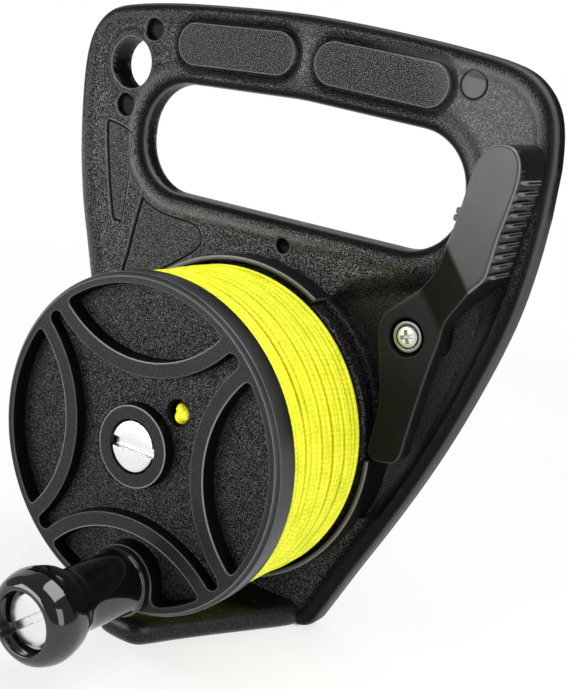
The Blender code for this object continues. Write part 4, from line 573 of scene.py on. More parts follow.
def plate_surface(points):
    """Depth, grain, pale lines that are partly wear and partly painted highlight, and painted sheen of the
    plate's front: a web between a rounded rim and the bead round the opening, with grooved islands, dimples,
    panels, and a bay that falls from its rim to its floor line as a smooth step."""
    edge = edge_distance(points, OUTLINE, 1.0)
    mouth = -edge_distance(points, OPENING, 9.0)
    eye = away_from(points, LANYARD) - LANYARD_RADIUS
    # The web, sunk between the edges, with its grain and pale lines along them, partly wear and partly painted
    # highlight; then a painted highlight on the bead low on the left of the opening, and a pale painted band
    # inside the edge low on the far left.
    across = points - (4.0, 84.0)
    low_left = rise(-(across @ (0.62, 0.78)) / np.maximum(away_from(across), 1.0), 0.15, 0.95)
    sunk = WEB_DROP * rise(mouth, 4.2, 7.6) * rise(edge, 4.2, 6.4) * rise(eye, 1.6, 3.2)
    grain = 0.1 + 0.9 * rise(mouth, 1.4, 3.2) * rise(edge, 1.2, 3.0)
    wear_and_highlight = 0.4 * line_at(mouth, 0.15, 0.22) + 0.5 * line_at(eye, 0.15, 0.18) + 0.25 * line_at(edge, 0.3, 0.35)
    wear_and_highlight = wear_and_highlight + 0.30 * low_left * line_at(mouth, 4.6, 1.1)
    far_left = (1 - rise(points[:, 0], -66.0, -60.0)) * (1 - rise(points[:, 1], 66.0, 86.0))
    wear_and_highlight = wear_and_highlight + 0.25 * line_at(edge, 1.9, 1.0) * far_left
    # Islands, each in a groove with a sharp inner and a long outer side.
    for island in ISLANDS:
        away = stadium_distance(points, island)
        groove = rise(away, -0.14, 0.30) * (1 - rise(away, 0.5, 3.4))
        sunk = np.where(away < 0, 0, np.maximum(sunk * rise(away, 0.0, 3.0), 2.4 * groove))
        grain = grain * (1 - 0.8 * rise(away, -0.1, 0.3) * (1 - rise(away, 0.9, 1.9)))
        # Pale line along each island's brink: partly wear, partly painted highlight.
        wear_and_highlight = wear_and_highlight + 0.35 * line_at(away, -0.22, 0.14)
    # Dimples, and the round mark, which is a ring groove round a smooth disc.
    for x, z, radius in DIMPLES:
        inside = radius - away_from(points, (x, z))
        sunk = sunk + 0.35 * rise(inside, -0.5, 0.0) + 1.5 * rise(inside, 0.0, 0.35)
        grain = grain * (1 - rise(inside, -0.3, 0.2))
        # Inside a dimple the pale lines stop; a thin painted highlight ring runs round its brink.
        wear_and_highlight = wear_and_highlight * (inside < -0.6) + 0.3 * line_at(inside, -0.32, 0.16)
    x, z, radius = MARK
    inside = radius - away_from(points, (x, z))
    sunk = sunk + 0.45 * (1 - rise(np.abs(inside), 0.05, 0.30))
    # Smoother plastic with painted sheen in the upper right corner and between the islands, less sheen on the
    # round mark's disc and none on its ring, and a pale painted highlight band inside the top edge on the
    # right.
    corner = rise(points[:, 0] + 0.35 * (points[:, 1] - 100.0), 40.0, 58.0) * rise(points[:, 1], 62.0, 82.0)
    valley = np.exp(-((points[:, 0] - 3.5) / 3.0) ** 2) * rise(points[:, 1], 99.0, 103.0)
    sheen = np.maximum(0.36 * corner, 0.5 * valley) * rise(mouth, 1.5, 4.0) * rise(edge, 2.0, 5.0)
    sheen = sheen * (1 - line_at(inside, 0.0, 0.22)) * (1 - 0.25 * rise(inside, 0.0, 0.3))
    grain = grain * (1 - 0.35 * corner) * (1 - 0.95 * rise(inside, -0.3, 0.1))
    far_right = rise(points[:, 0], 20.0, 34.0) * rise(points[:, 1], 98.0, 106.0)
    wear_and_highlight = wear_and_highlight + 0.16 * line_at(edge, 4.6, 1.3) * far_right
    # Shallow panels with a groove along their edge.
    for panel in (SLIM, WEDGE):
        inside = edge_distance(points, panel, 3.0)
        sunk = sunk + 0.55 * rise(inside, -0.2, 0.2) + 0.75 * (1 - rise(np.abs(inside), 0.10, 0.50))
        grain = grain * (1 - 0.8 * line_at(inside, 0.0, 0.4))
        # Pale lines on both sides of each panel's groove: partly wear, partly painted highlight.
        wear_and_highlight = wear_and_highlight + 0.40 * line_at(inside, -0.50, 0.16) + 0.25 * line_at(inside, 0.55, 0.14)
    # Bay: the share of the way from its rim to its floor line gives the depth.
    inside = edge_distance(points, BAY_RIM)
    floor = -edge_distance(points, BAY_FLOOR_LOOP, 30.0)
    share = np.clip(inside / np.maximum(inside + np.maximum(floor, 0), 1e-6), 0, 1)
    dish = (BAY_FLOOR - PLATE_FRONT) * rise(share, -0.10, 1.0) * rise(inside, 0.0, 0.8)
    sunk = np.maximum(sunk, np.where(inside > 0, dish, 0))
    # In the dish, fewer glints left of the lever and more right of it, with a faint pale patch there: painted
    # highlight.
    beside = rise(points[:, 0] - 0.35 * points[:, 1], 42.0, 50.0)
    grain = grain * (1 - (0.55 - 0.95 * beside) * rise(dish, 1.6, 5.0) * (inside > 0))
    wear_and_highlight = wear_and_highlight + 0.07 * beside * rise(dish, 1.2, 3.5) * (inside > 0)
    right = rise(points[:, 0] - 0.62 * points[:, 1], 10.0, 24.0) * (1 - rise(points[:, 1], 48.0, 72.0))
    grain = grain * (1 - 0.85 * right * (1 - rise(edge, 4.0, 7.5)))
    # Seat inside the collar, rounded edges, and stronger grain, with more painted glints as a painted
    # highlight, low on the left round the opening and in a patch under it just above the collar.
    sunk = np.where((away_from(points) < 47.9) & (sunk < 1.4), 1.4, sunk)
    sunk = sunk + PLATE_EDGE_ROUND * quarter(edge, PLATE_EDGE_ROUND)
    sunk = sunk + LIP_DEPTH * quarter(mouth, LIP_WIDTH) + 0.7 * quarter(eye, 0.7)
    low = low_left * line_at(mouth, 4.4, 2.4) + np.exp(-((points - (22.0, 56.0)) ** 2).sum(1) / 81.0)
    grain = np.clip(grain * (0.72 + 0.60 * np.clip(low, 0, 1)), 0, 1)
    return PLATE_FRONT + sunk, grain, np.clip(wear_and_highlight, 0, 1), sheen


def plate_back_depth(points):
    """Depth of the plate's back: flat with rounded edges, and the sunken places of the two nuts."""
    edge = edge_distance(points, OUTLINE)
    mouth = -edge_distance(points, OPENING)
    eye = away_from(points, LANYARD) - LANYARD_RADIUS
    depth = PLATE_BACK - PLATE_EDGE_ROUND * quarter(edge, PLATE_EDGE_ROUND) - 0.7 * quarter(eye, 0.7)
    depth = depth - LIP_DEPTH * quarter(mouth, LIP_WIDTH)
    depth = np.where(away_from(points) < NUT_POCKET_RADIUS, NUT_POCKET_FLOOR, depth)
    away = np.abs(points - PIVOT)
    hexagon = np.maximum(away[:, 1], away[:, 0] * 0.866 + away[:, 1] * 0.5) - 3.3
    return np.where(hexagon < 0, PIVOT_POCKET_FLOOR, depth)


def triangles(points, loops, wanted=None, links=np.zeros((0, 2), int)):
    """Delaunay triangles over points, links between them and closed loops, kept inside the first loop and
    outside the others, or where a function of their middles is true."""
    edges, first = [links], len(points)
    for loop in loops:
        index = np.arange(len(loop)) + first
        edges.append(np.stack([index, np.roll(index, -1)], axis=-1))
        first += len(loop)
    everything = np.vstack([points, *loops])
    found = delaunay_2d_cdt([Vector(p) for p in everything.tolist()], np.vstack(edges).tolist(), [], 0, 1e-6)
    flat = np.array([tuple(v) for v in found[0]])
    faces = np.array(found[2])
    middle = flat[faces].mean(1)
    if wanted is not None:
        return flat, faces[wanted(middle)]
    keep = edge_distance(middle, loops[0], 400.0) > 0
    for loop in loops[1:]:
        keep &= edge_distance(middle, loop) < 0
    return flat, faces[keep]


def strips(loops, offsets):
    """Each loop repeated at the offsets within its reach, to the side that its sign gives."""
    return np.vstack([moved_out(loop, sign * off)
                      for loop, sign, reach in loops for off in offsets if off < reach])


def build_frame_plate():
    """Front and back as depths over triangulated points, joined by straight walls between equal loops."""
    eye = evenly(circle(LANYARD_RADIUS, 120, LANYARD), 0.6)
    edges = [(OUTLINE, -1, 9.0), (OPENING, 1, 9.0), (eye, 1, 1.0)]
    rows = strips(edges, (0.02, 0.10, 0.25, 0.5, 0.85, 1.3, 1.8, 2.4, 3.0, 3.6, 4.2))

    def spread(spacing):
        """Square grid kept clear of the plate's edges."""
        points = lattice(-80, 84, -60, 120, spacing)
        inside = edge_distance(points, OUTLINE, 400.0) > 4.5
        points = points[inside & (edge_distance(points, OPENING) < -4.5)]
        return points[away_from(points, LANYARD) > LANYARD_RADIUS + 0.9]

    marks = [evenly(stadium(island), 0.5) for island in ISLANDS]
    marks += [evenly(circle(radius, 89, (x, z)), 0.35) for x, z, radius in DIMPLES + (MARK,)]
    marks += [SLIM, WEDGE, evenly(BAY_RIM, 0.8)]
    grid = spread(0.62)
    grid = grid[(away_from(grid) > 46.5) | ((np.abs(grid) % 6.0) < 0.6).all(1)]
    for mark in marks:
        grid = grid[np.abs(edge_distance(grid, mark, 1.0)) > 0.62]
    bands = strips([(mark, 1, 1.0) for mark in marks],
                   (-0.5, -0.36, -0.22, -0.11, 0.0, 0.11, 0.22, 0.34, 0.50))
    bands = bands[(edge_distance(bands, OUTLINE, 400.0) > 0.6) & (edge_distance(bands, OPENING) < -0.6)]
    front, front_faces = triangles(np.vstack([grid, rows, bands]), [OUTLINE, OPENING, eye])
    coarse = spread(2.6)
    coarse = coarse[(np.abs(away_from(coarse) - NUT_POCKET_RADIUS) > 0.6) & (away_from(coarse, PIVOT) > 4.8)]
    rings = [circle(NUT_POCKET_RADIUS + off, 72) for off in (-0.03, 0.03)]
    corners = np.array([(3.81, 0.0), (1.905, 3.3), (-1.905, 3.3), (-3.81, 0.0), (-1.905, -3.3),
                        (1.905, -3.3)])
    rings += [PIVOT + evenly(corners * share, 0.5) for share in (0.985, 1.015)]
    back, back_faces = triangles(np.vstack([coarse, rows, *rings]), [OUTLINE, OPENING, eye])
    depth, grain, wear_and_highlight, sheen = plate_surface(front)
    parts = [(world(front[:, 0], depth, front[:, 1]), front_faces),
             (world(back[:, 0], plate_back_depth(back), back[:, 1]), back_faces)]
    walls, levels_per_wall = 0, 5
    for loop, drop in ((OUTLINE, PLATE_EDGE_ROUND), (OPENING, LIP_DEPTH), (eye, 0.7)):
        levels = np.linspace(PLATE_FRONT + drop, PLATE_BACK - drop, levels_per_wall)
        wall = world(loop[None, :, 0], levels[:, None], loop[None, :, 1])
        parts.append((wall.reshape(-1, 3), grid_faces(levels_per_wall, len(loop))))
        walls += levels_per_wall * len(loop)
    vertices = np.vstack([points for points, faces in parts])
    starts = np.cumsum([0] + [len(points) for points, faces in parts])
    faces = [face for start, (points, part) in zip(starts, parts) for face in (part + start).tolist()]
    back_grain = 0.1 + 0.9 * rise(edge_distance(back, OUTLINE, 1.0), 1.2, 3.0)
    layers = {"grain": np.concatenate([grain, back_grain, np.full(walls, 0.1)]),
              "wear_and_highlight": np.concatenate([wear_and_highlight, np.zeros(len(back) + walls)]),
              "sheen": np.concatenate([sheen, np.zeros(len(back) + walls)])}
    return piece("frame_plate", vertices, faces, FRAME_PLASTIC, "frame", ["frame"], layers=layers)


def build_frame_collar():
    """Collar wall: a profile of radius and depth carried round from one side of the window to the other."""
    inner, outer = COLLAR_INNER, COLLAR_OUTER
    profile = softened([(inner, PLATE_FRONT), (inner, COLLAR_BACK), (outer, COLLAR_BACK), (outer, COLLAR_FRONT),
                        (inner, COLLAR_FRONT), (inner, PLATE_FRONT)], 0.35, 5)[:-1]
    angle = np.radians(np.linspace(61.0, 362.0, 420))[:, None]
    rows = world(profile[None, :, 0] * np.cos(angle), profile[None, :, 1], profile[None, :, 0] * np.sin(angle))
    # Pale line along the collar's front outer edge: painted highlight.
    lip = line_at(profile[:, 1], COLLAR_FRONT, 0.12) * line_at(profile[:, 0], 48.9, 0.35)
    return piece("frame_collar", rows, capped_faces(rows), COLLAR_PLASTIC, "frame", sharp_degrees=50,
                 layers={"wear_and_highlight": 0.8 * lip * np.ones((len(rows), 1))})


def build_frame_tongue():
    """Tongue: its plan outline drawn in along a half round at each height, capped above and below."""
    shares = np.array([(1.00, 1.00), (0.985, 0.87), (0.800, 0.655), (0.575, 0.412), (0.410, 0.223),
                       (0.275, 0.060), (0.180, 0.012), (0.063, 0.000)])
    right = np.stack([TONGUE_HALF_WIDTH * shares[:, 0], TONGUE_FRONT + TONGUE_LENGTH * shares[:, 1]], axis=-1)
    chain = np.vstack([right, right[::-1] * (-1, 1)])
    chain = np.vstack([chain[:1] + (0.2, 6.0), chain, chain[-1:] + (-0.2, 6.0)])
    plan = evenly(np.vstack([through(chain, 8), right[:1] * (-1, 1)]), 0.9) + (-0.5, 0.0)
    turn = np.radians(np.linspace(-90, 90, 13))
    inset = TONGUE_ROLL * (1 - np.cos(turn))
    height = np.where(turn < 0, TONGUE_BOTTOM + TONGUE_ROLL * (1 + np.sin(turn)),
                      TONGUE_TOP - TONGUE_ROLL * (1 - np.sin(turn)))
    rings = np.stack([moved_out(plan, -off) for off in inset])
    inner = moved_out(plan, -5.0)
    below, above = (world(inner[None, :, 0], inner[None, :, 1], level) for level in (TONGUE_BOTTOM, TONGUE_TOP))
    rows = np.concatenate([below, world(rings[..., 0], rings[..., 1], height[:, None]), above])
    return piece("frame_tongue", rows, capped_faces(rows), TONGUE_PLASTIC, "frame")


build_frame_plate()
build_frame_collar()
build_frame_tongue()

# Spool front

WALL = np.array([(-0.22, 0.0), (-0.10, 0.004), (-0.02, 0.022), (0.04, 0.09), (0.15, 0.86), (0.22, 0.96),
                 (0.34, 0.992), (0.55, 1.0)])
TIE_HOLE = 16.7 * heading(np.radians(48.0))
TIE_HOLE_RADIUS = 3.75
FACE_OUTER = 46.2
FACE_INNER = 7.75


def smooth_least(a, b, width):
    """Smaller of two distances, blended over a width where they are close."""
    h = np.clip(0.5 + 0.5 * (b - a) / width, 0, 1)
    return b * (1 - h) + a * h - width * h * (1 - h)


def relief_fields(points):
    """Sunken fields of the flange face as (distance inside, depth of floor). The star and its four lens
    pockets repeat every quarter turn, so distances are measured in one folded eighth of the face: a lens lies
    inside the rim circle and the rib arc, and a star arm outside the next rib arc with a round end."""
    radius = np.hypot(*points.T)
    turn = np.degrees(np.arctan2(points[:, 1], points[:, 0])) - RELIEF_TURN
    fold = np.radians(np.abs((turn + 45.0) % 90.0 - 45.0))
    folded = radius[:, None] * heading(fold)
    rib = away_from(folded, (RIB_ARC_CENTRE, 0.0))
    pocket = smooth_least(RELIEF_RADIUS - radius, POCKET_ARC_RADIUS - rib, 2.2)
    pocket = smooth_least(pocket, away_from(points, KNOB_PLACE) - KNOB_BOSS_RADIUS, 4.5)
    tip = (RELIEF_RADIUS - STAR_ARM_END) * np.array([1.0, 1.0]) / np.sqrt(2)
    beyond = (folded - tip).sum(1) > 0
    star = np.where(beyond, STAR_ARM_END - away_from(folded, tip), rib - POCKET_ARC_RADIUS - RIB_WIDTH)
    star = np.minimum(star, radius - BOSS_RADIUS)
    hole = TIE_HOLE_RADIUS - away_from(points, TIE_HOLE)
    return [(pocket, POCKET_DEPTH), (star, STAR_DEPTH), (hole, RIM_DEPTH - FACE_DEPTH - 0.3)]


def nearest_edge(points):
    """Distance inside the field whose edge is nearest."""
    distances = np.array([distance for distance, depth in relief_fields(points)])
    return distances[np.abs(distances).argmin(0), np.arange(len(points))]


def slope_of(distance_to, points, step):
    """A distance and how much it changes over one step to the right and one step up."""
    here = distance_to(points)
    return here, np.stack([distance_to(points + move) - here for move in ((step, 0), (0, step))], axis=-1)


def drawn_to_edges(points, distance_to, crowd, reach):
    """Points moved down the slope of a distance by a share that fades with it, to crowd at edges."""
    step = 0.02
    here, slope = slope_of(distance_to, points, step)
    slope /= np.maximum(away_from(slope)[:, None], step * 0.3)
    return points - slope * (here * crowd * np.exp(-(here / reach) ** 2))[:, None]


def level_lines(levels, spacing):
    """Points and links on the level lines of the nearest edge: points on the circles that the edges follow,
    slid down the slope onto each line, and linked to their neighbours on the same circle."""
    ways = np.radians(RELIEF_TURN + 90.0 * np.arange(4))
    circles = [(np.zeros(2), RELIEF_RADIUS), (np.zeros(2), BOSS_RADIUS), (TIE_HOLE, TIE_HOLE_RADIUS),
               (np.array(KNOB_PLACE), KNOB_BOSS_RADIUS)]
    for way in ways:
        centre = RIB_ARC_CENTRE * heading(way)
        tip = (RELIEF_RADIUS - STAR_ARM_END) * heading(way + np.pi / 4)
        circles += [(centre, POCKET_ARC_RADIUS), (centre, POCKET_ARC_RADIUS + RIB_WIDTH), (tip, STAR_ARM_END)]
    found, links, first = [], [], 0
    for centre, radius in circles:
        seeds = circle(radius, int(2 * np.pi * radius / spacing) - 1, centre)
        near = (away_from(seeds) < RELIEF_RADIUS + 0.1) & (np.abs(nearest_edge(seeds)) < 0.5)
        for level in levels:
            points = seeds.copy()
            for slide in range(5):
                here, slope = slope_of(nearest_edge, points, 0.01)
                slope /= 0.01
                points -= slope * ((here - level) / np.maximum((slope ** 2).sum(1), 0.2))[:, None]
            good = near & (np.abs(nearest_edge(points) - level) < 0.01) & (away_from(points, seeds) < 1.2)
            place = np.cumsum(good) - 1 + first
            ahead = np.roll(np.arange(len(points)), -1)
            close = good & good[ahead] & (away_from(points, points[ahead]) < 2.0 * spacing)
            links.append(np.stack([place[close], place[ahead][close]], axis=-1))
            found.append(points[good])
            first += good.sum()
    return np.vstack(found), np.vstack(links)


def build_spool_front():
    """Flange face as a depth over triangulated points, closed by the turned rim, back, drum and hub.
    The depth is the deepest field: each has a small brink, a steep wall and a short foot."""
    columns = 480
    outer, inner = circle(FACE_OUTER, columns), circle(FACE_INNER, columns)
    grid = lattice(-46, 46.3, -46, 46.3, 0.74)
    grid = grid[np.abs(nearest_edge(grid)) > 0.95]
    radius = away_from(grid)
    grid = grid[(radius > 8.6) & (radius < 45.3)]
    lines, links = level_lines((-0.6, -0.36, *WALL[:, 0], 0.09), 0.42)
    rings = [circle(reach, columns) for reach in (46.1, 45.95, 45.7, 45.4, 8.3, 8.0, 7.85)]
    halfway, half_width = (FACE_OUTER + FACE_INNER) / 2, (FACE_OUTER - FACE_INNER) / 2
    flat, faces = triangles(np.vstack([lines, grid, *rings]), [outer, inner],
                            lambda middle: np.abs(away_from(middle) - halfway) < half_width - 0.005, links)
    fields = relief_fields(flat)
    sunk = np.max([depth * np.interp(inside, WALL[:, 0], WALL[:, 1]) for inside, depth in fields], axis=0)
    edge, slope = slope_of(nearest_edge, flat, 0.02)
    # Profile as (radius, depth): rim, back, drum inside and out, hub, and the recess of the axle's head.
    rim = [(46.20, -1.20), (46.34, -1.10), (46.50, -0.96), (47.20, -0.32), (47.38, -0.10), (47.48, 0.15),
           (47.50, 0.40), (47.50, 6.35), (47.44, 6.70), (47.25, 6.93), (46.90, 7.00), (22.5, 7.00),
           (22.5, 44.1), (20.3, 44.1), (20.3, 7.0), (8.5, 7.0), (8.5, 49.3), (5.8, 49.3), (5.8, 3.8),
           (7.55, 3.8), (7.70, 3.65), (7.70, -0.95), (7.75, -1.20)]
    shell = turned(rim, columns)
    vertices = np.vstack([world(flat[:, 0], FACE_DEPTH + sunk, flat[:, 1]), shell.reshape(-1, 3)])
    faces = faces.tolist() + (grid_faces(len(rim), columns) + len(flat)).tolist()
    # Pale lines on the two rounds of the rim and on brinks, most where they face outward: partly wear, partly
    # painted highlight. Painted sheen on the flat tops and the rim, and most grain, so most painted glints, on
    # the floors.
    plain = np.zeros(len(rim))
    plain[:3] = (0.15, 0.5, 0.15)
    plain[4:7] = (0.1, 0.3, 0.1)
    plain = np.repeat(plain, columns)
    wall = rise(edge, -0.10, 0.02) * (1 - rise(edge, 0.30, 0.55))
    floor = rise(sunk, 1.0, 3.0)
    brink = line_at(edge, -0.13, 0.15) * (1 - rise(edge, -0.02, 0.03)) * (sunk < 1.0)
    outward = (slope * flat).sum(1) / np.maximum(away_from(flat) * away_from(slope), 1e-6)
    lit = (0.22 + 0.78 * rise(outward, -0.3, 0.7)) * brink
    layers = {"grain": np.concatenate([(0.30 + 0.70 * floor) * (1 - wall), np.full(len(plain), 0.1)]),
              "sheen": np.concatenate([0.30 * (1 - floor) * (1 - wall), np.full(len(plain), 0.25)]),
              "wear_and_highlight": np.concatenate([0.9 * lit, plain])}
    return piece("spool_front_relief", vertices, faces, SPOOL_PLASTIC, "spool", ["spool_front"],
                 layers=layers)


# Wound line

LINE_TURNS = 17.2
LINE_POINTS_PER_TURN = 250
LINE_FIRST_DEPTH = 8.55
LINE_LAST_DEPTH = 42.75
LINE_RADIUS = 45.35
LINE_HIGHEST = 45.62
LINE_START = np.radians(236.0)
LINE_GATHER = 3.1


def tube(path, outward, section, name, material, body, replaces=()):
    """Line of a given section carried along a path, with flat ends: point = path + across u + outward v.
    Its lay map holds the length in millimetres and the share of the way round."""
    run = np.gradient(path, axis=0)
    run /= np.linalg.norm(run, axis=1)[:, None]
    across = np.cross(run, outward)
    across /= np.linalg.norm(across, axis=1)[:, None]
    out = np.cross(across, run)
    rows = path[:, None] + across[:, None] * section[None, :, :1] + out[:, None] * section[None, :, 1:]
    sides = len(section)
    faces = capped_faces(rows)
    faces[-1].reverse()
    mesh = bpy.data.meshes.new(name)
    mesh.from_pydata(rows.reshape(-1, 3), [], faces)
    mesh.shade_smooth()
    length = np.concatenate([[0], np.cumsum(np.linalg.norm(np.diff(path, axis=0), axis=1))]) * 1000
    loops = np.zeros(len(mesh.loops), np.int64)
    mesh.loops.foreach_get("vertex_index", loops)
    share = (loops % sides) / sides
    layer = mesh.uv_layers.new(name="lay")
    layer.data.foreach_set("uv", np.stack([length[loops // sides], share], axis=-1).ravel())
    return placed(name, mesh, material, body, replaces)


def oval(half_width, half_height, sides):
    """Section of a line in metres, from half sizes in millimetres."""
    turn = np.linspace(0, 2 * np.pi, sides, endpoint=False)
    return np.stack([half_width * np.cos(turn), half_height * np.sin(turn)], axis=-1) * 0.001


def waves(angle, turn, seed, count=5):
    """Slow waves round the spool whose phase drifts a little from turn to turn."""
    chance = np.random.default_rng(seed)
    total = np.zeros_like(angle)
    for order in range(1, count + 1):
        phase = chance.uniform(0, 2 * np.pi)
        drift = chance.uniform(-0.7, 0.7)
        total += np.sin(order * angle + phase + drift * turn) * chance.uniform(0.5, 1.0) / order ** 0.6
    return total


def build_line_winding():
    """One unbroken line: a helix whose depth steps on by the pitch, gathers in threes and waves a little.
    Its two ends dive into the layers below."""
    angle = np.arange(int(LINE_TURNS * LINE_POINTS_PER_TURN)) * (2 * np.pi / LINE_POINTS_PER_TURN)
    turn = angle / (2 * np.pi)
    share = turn / LINE_TURNS
    edge = np.clip(np.minimum(share, 1 - share) * 14, 0, 1)
    bunch = 2 * np.pi * turn / LINE_GATHER
    gather = 0.50 * np.sin(bunch + 0.9 * waves(angle, turn, 5, 3)) + 0.38 * waves(angle, turn, 3, 7)
    depth = LINE_FIRST_DEPTH + share * (LINE_LAST_DEPTH - LINE_FIRST_DEPTH) + edge * gather
    radius = LINE_RADIUS + edge * (0.26 * waves(angle, turn, 8) - 0.20 * np.cos(bunch))
    ends = np.clip(np.minimum(turn, LINE_TURNS - turn) / 0.12, 0, 1)
    radius = np.minimum(radius, LINE_HIGHEST) - 2.2 * (1 - ends) ** 2
    start = angle + LINE_START
    out = np.stack([np.cos(start), np.zeros_like(angle), np.sin(start)], axis=-1)
    path = world(radius * out[:, 0], depth, radius * out[:, 2])
    return tube(path, out, oval(1.10, 1.05, 12), "line_winding_lay", LINE_BRAID, "spool", ["line_winding"])


def build_line_core():
    """Layers under the winding: a turned body whose outer face is ridged by the turns below."""
    depth = np.linspace(7.3, 43.9, 140)
    outer = np.stack([43.75 + 0.45 * np.abs(np.sin(np.pi * (depth - 7.3) / 2.3)), depth], axis=-1)
    profile = np.vstack([[(22.6, 7.15)], outer, [(22.6, 44.0)]])
    return turned_ring("line_core_lay", profile, 180, (0.0, 0.0), LINE_SHADE, "spool", ["line_core"])


def build_line_tail():
    """Tied end in the tie hole: a trefoil knot, x = sin t + 2 sin 2t and z = cos t - 2 cos 2t, drawn back."""
    t = np.linspace(0, 2 * np.pi, 150)
    path = world(TIE_HOLE[0] + 0.5 + 0.54 * (np.sin(t) + 2 * np.sin(2 * t)), 5.6 - 1.5 * np.sin(3 * t),
                 TIE_HOLE[1] - 0.4 + 0.56 * (np.cos(t) - 2 * np.cos(2 * t)))
    out = np.stack([np.zeros_like(t), -np.ones_like(t), np.zeros_like(t)], axis=-1) + 0.2
    return tube(path, out, oval(1.55, 1.35, 16), "line_tail_knot", LINE_BRAID, "spool", ["line_tail"])


build_spool_front()
build_line_winding()
build_line_core()
build_line_tail()

# Brake lever

ARM_BACK = 49.7
ARM_FRONT = 43.5
PAD_FRONT = 32.0
LEVER_ROUND = 0.8
LEVER_RECESS_RADIUS = 5.3
CREASE = PIVOT + (16.7, 22.9)
RAMP_TURN = np.radians(218.5)
RAMP_LENGTH = 17.0
LEVER_SHAPE = np.array([
    (22.9, 56.1), (25.7, 55.0), (27.5, 51.5), (27.6, 46.7), (26.7, 40.7), (25.5, 34.2), (24.7, 27.7),
    (23.9, 22.7), (21.5, 19.5), (16.7, 13.7), (12.2, 8.2), (10.3, 4.7), (9.7, 0.7), (8.3, -6.8),
    (6.9, -15.8), (5.5, -26.3), (4.6, -33.1), (2.9, -35.7), (-0.3, -36.6), (-3.3, -36.7), (-5.6, -34.7),
    (-5.3, -29.3), (-4.7, -23.3), (-5.1, -17.3), (-6.8, -9.3), (-8.5, -2.3), (-8.7, 2.2), (-7.1, 5.7),
    (-2.8, 9.9), (2.2, 14.7), (6.7, 19.7), (10.2, 24.7), (12.2, 30.7), (13.6, 37.7), (14.8, 45.7),
    (16.3, 51.7), (18.9, 55.2)])
LEVER = evenly(closed_spline(PIVOT + LEVER_SHAPE, 10), 0.55)


def lever_ramp(points):
    """Share of the way from the pad down to the arm: 0 on the pad, straight between, 1 on the arm."""
    along = (points - CREASE) @ heading(RAMP_TURN)
    t = np.clip(along / RAMP_LENGTH, -0.2, 1.2)
    ramp = smooth_least(t, np.ones_like(t), 0.04)
    return -smooth_least(-ramp, np.zeros_like(t), 0.02)


def lever_depth(points):
    """Depth of the lever's front: pad, straight ramp down to the arm, and a rounded edge all round."""
    ramp = lever_ramp(points)
    edge = edge_distance(points, LEVER)
    eye = away_from(points, PIVOT) - LEVER_RECESS_RADIUS
    sunk = np.where(eye < 0, 3.6, 0.5 * quarter(eye, 0.5))
    return PAD_FRONT + (ARM_FRONT - PAD_FRONT) * ramp + LEVER_ROUND * quarter(edge, LEVER_ROUND) + sunk


def build_lever():
    """Front as a depth over triangulated points inside the outline, with straight walls to a flat back."""
    rows = np.vstack([moved_out(LEVER, -off) for off in (0.02, 0.08, 0.2, 0.38, 0.6, 0.82, 1.3)])
    grid = lattice(44, 82, 2, 97, 0.6)
    grid = grid[(edge_distance(grid, LEVER) > 1.5) & (np.abs(away_from(grid, PIVOT) - 5.5) > 0.6)]
    rings = [circle(LEVER_RECESS_RADIUS + off, 96, PIVOT) for off in (-0.02, 0.02, 0.1, 0.25, 0.45, 0.7)]
    flat, faces = triangles(np.vstack([grid, rows, *rings]), [LEVER])
    front = world(flat[:, 0], lever_depth(flat), flat[:, 1])
    top = lever_depth(LEVER)
    share = np.linspace(0, 1, 6)[:, None]
    wall = world(LEVER[None, :, 0], top[None] * (1 - share) + (ARM_BACK - 0.3) * share, LEVER[None, :, 1])
    lip = moved_out(LEVER, -0.3)
    wall = np.concatenate([wall, world(lip[None, :, 0], ARM_BACK, lip[None, :, 1])])
    sides = len(LEVER)
    vertices = np.vstack([front, wall.reshape(-1, 3)])
    walls = (grid_faces(len(wall), sides) + len(front)).tolist()
    cap = list(range(len(front) + (len(wall) - 1) * sides, len(front) + len(wall) * sides))
    edge = edge_distance(flat, LEVER)
    ramp = lever_ramp(flat)
    pad = 1 - rise(ramp, 0.0, 0.03)
    shine = pad + 0.25 * rise(ramp, 0.97, 1.0) * (0.4 + 0.6 * rise(flat[:, 1], 24.0, 34.0))
    # Pale line just inside the edge, strongest on the pad: partly wear, partly painted highlight.
    rubbed_and_highlight = (0.45 * pad + 0.15) * line_at(edge, 0.25, 0.18)
    layers = {"grain": np.concatenate([shine, np.full(wall.size // 3, 0.15)]),
              "wear_and_highlight": np.concatenate([rubbed_and_highlight, np.zeros(wall.size // 3)])}
    return piece("lever_body", vertices, faces.tolist() + walls + [cap], LEVER_PLASTIC, "lever",
                 ["brake_lever"], layers=layers)


def side_wall(outline, heights, side):
    """Outermost place of an outline at each height, on the right for side 1 and on the left for side -1."""
    ends = np.roll(outline, -1, axis=0)
    best = []
    for z in heights:
        span = (outline[:, 1] - z) * (ends[:, 1] - z) <= 0
        best.append(side * max((side * outline[span, 0]).max(), (side * ends[span, 0]).max()))
    return np.array(best)


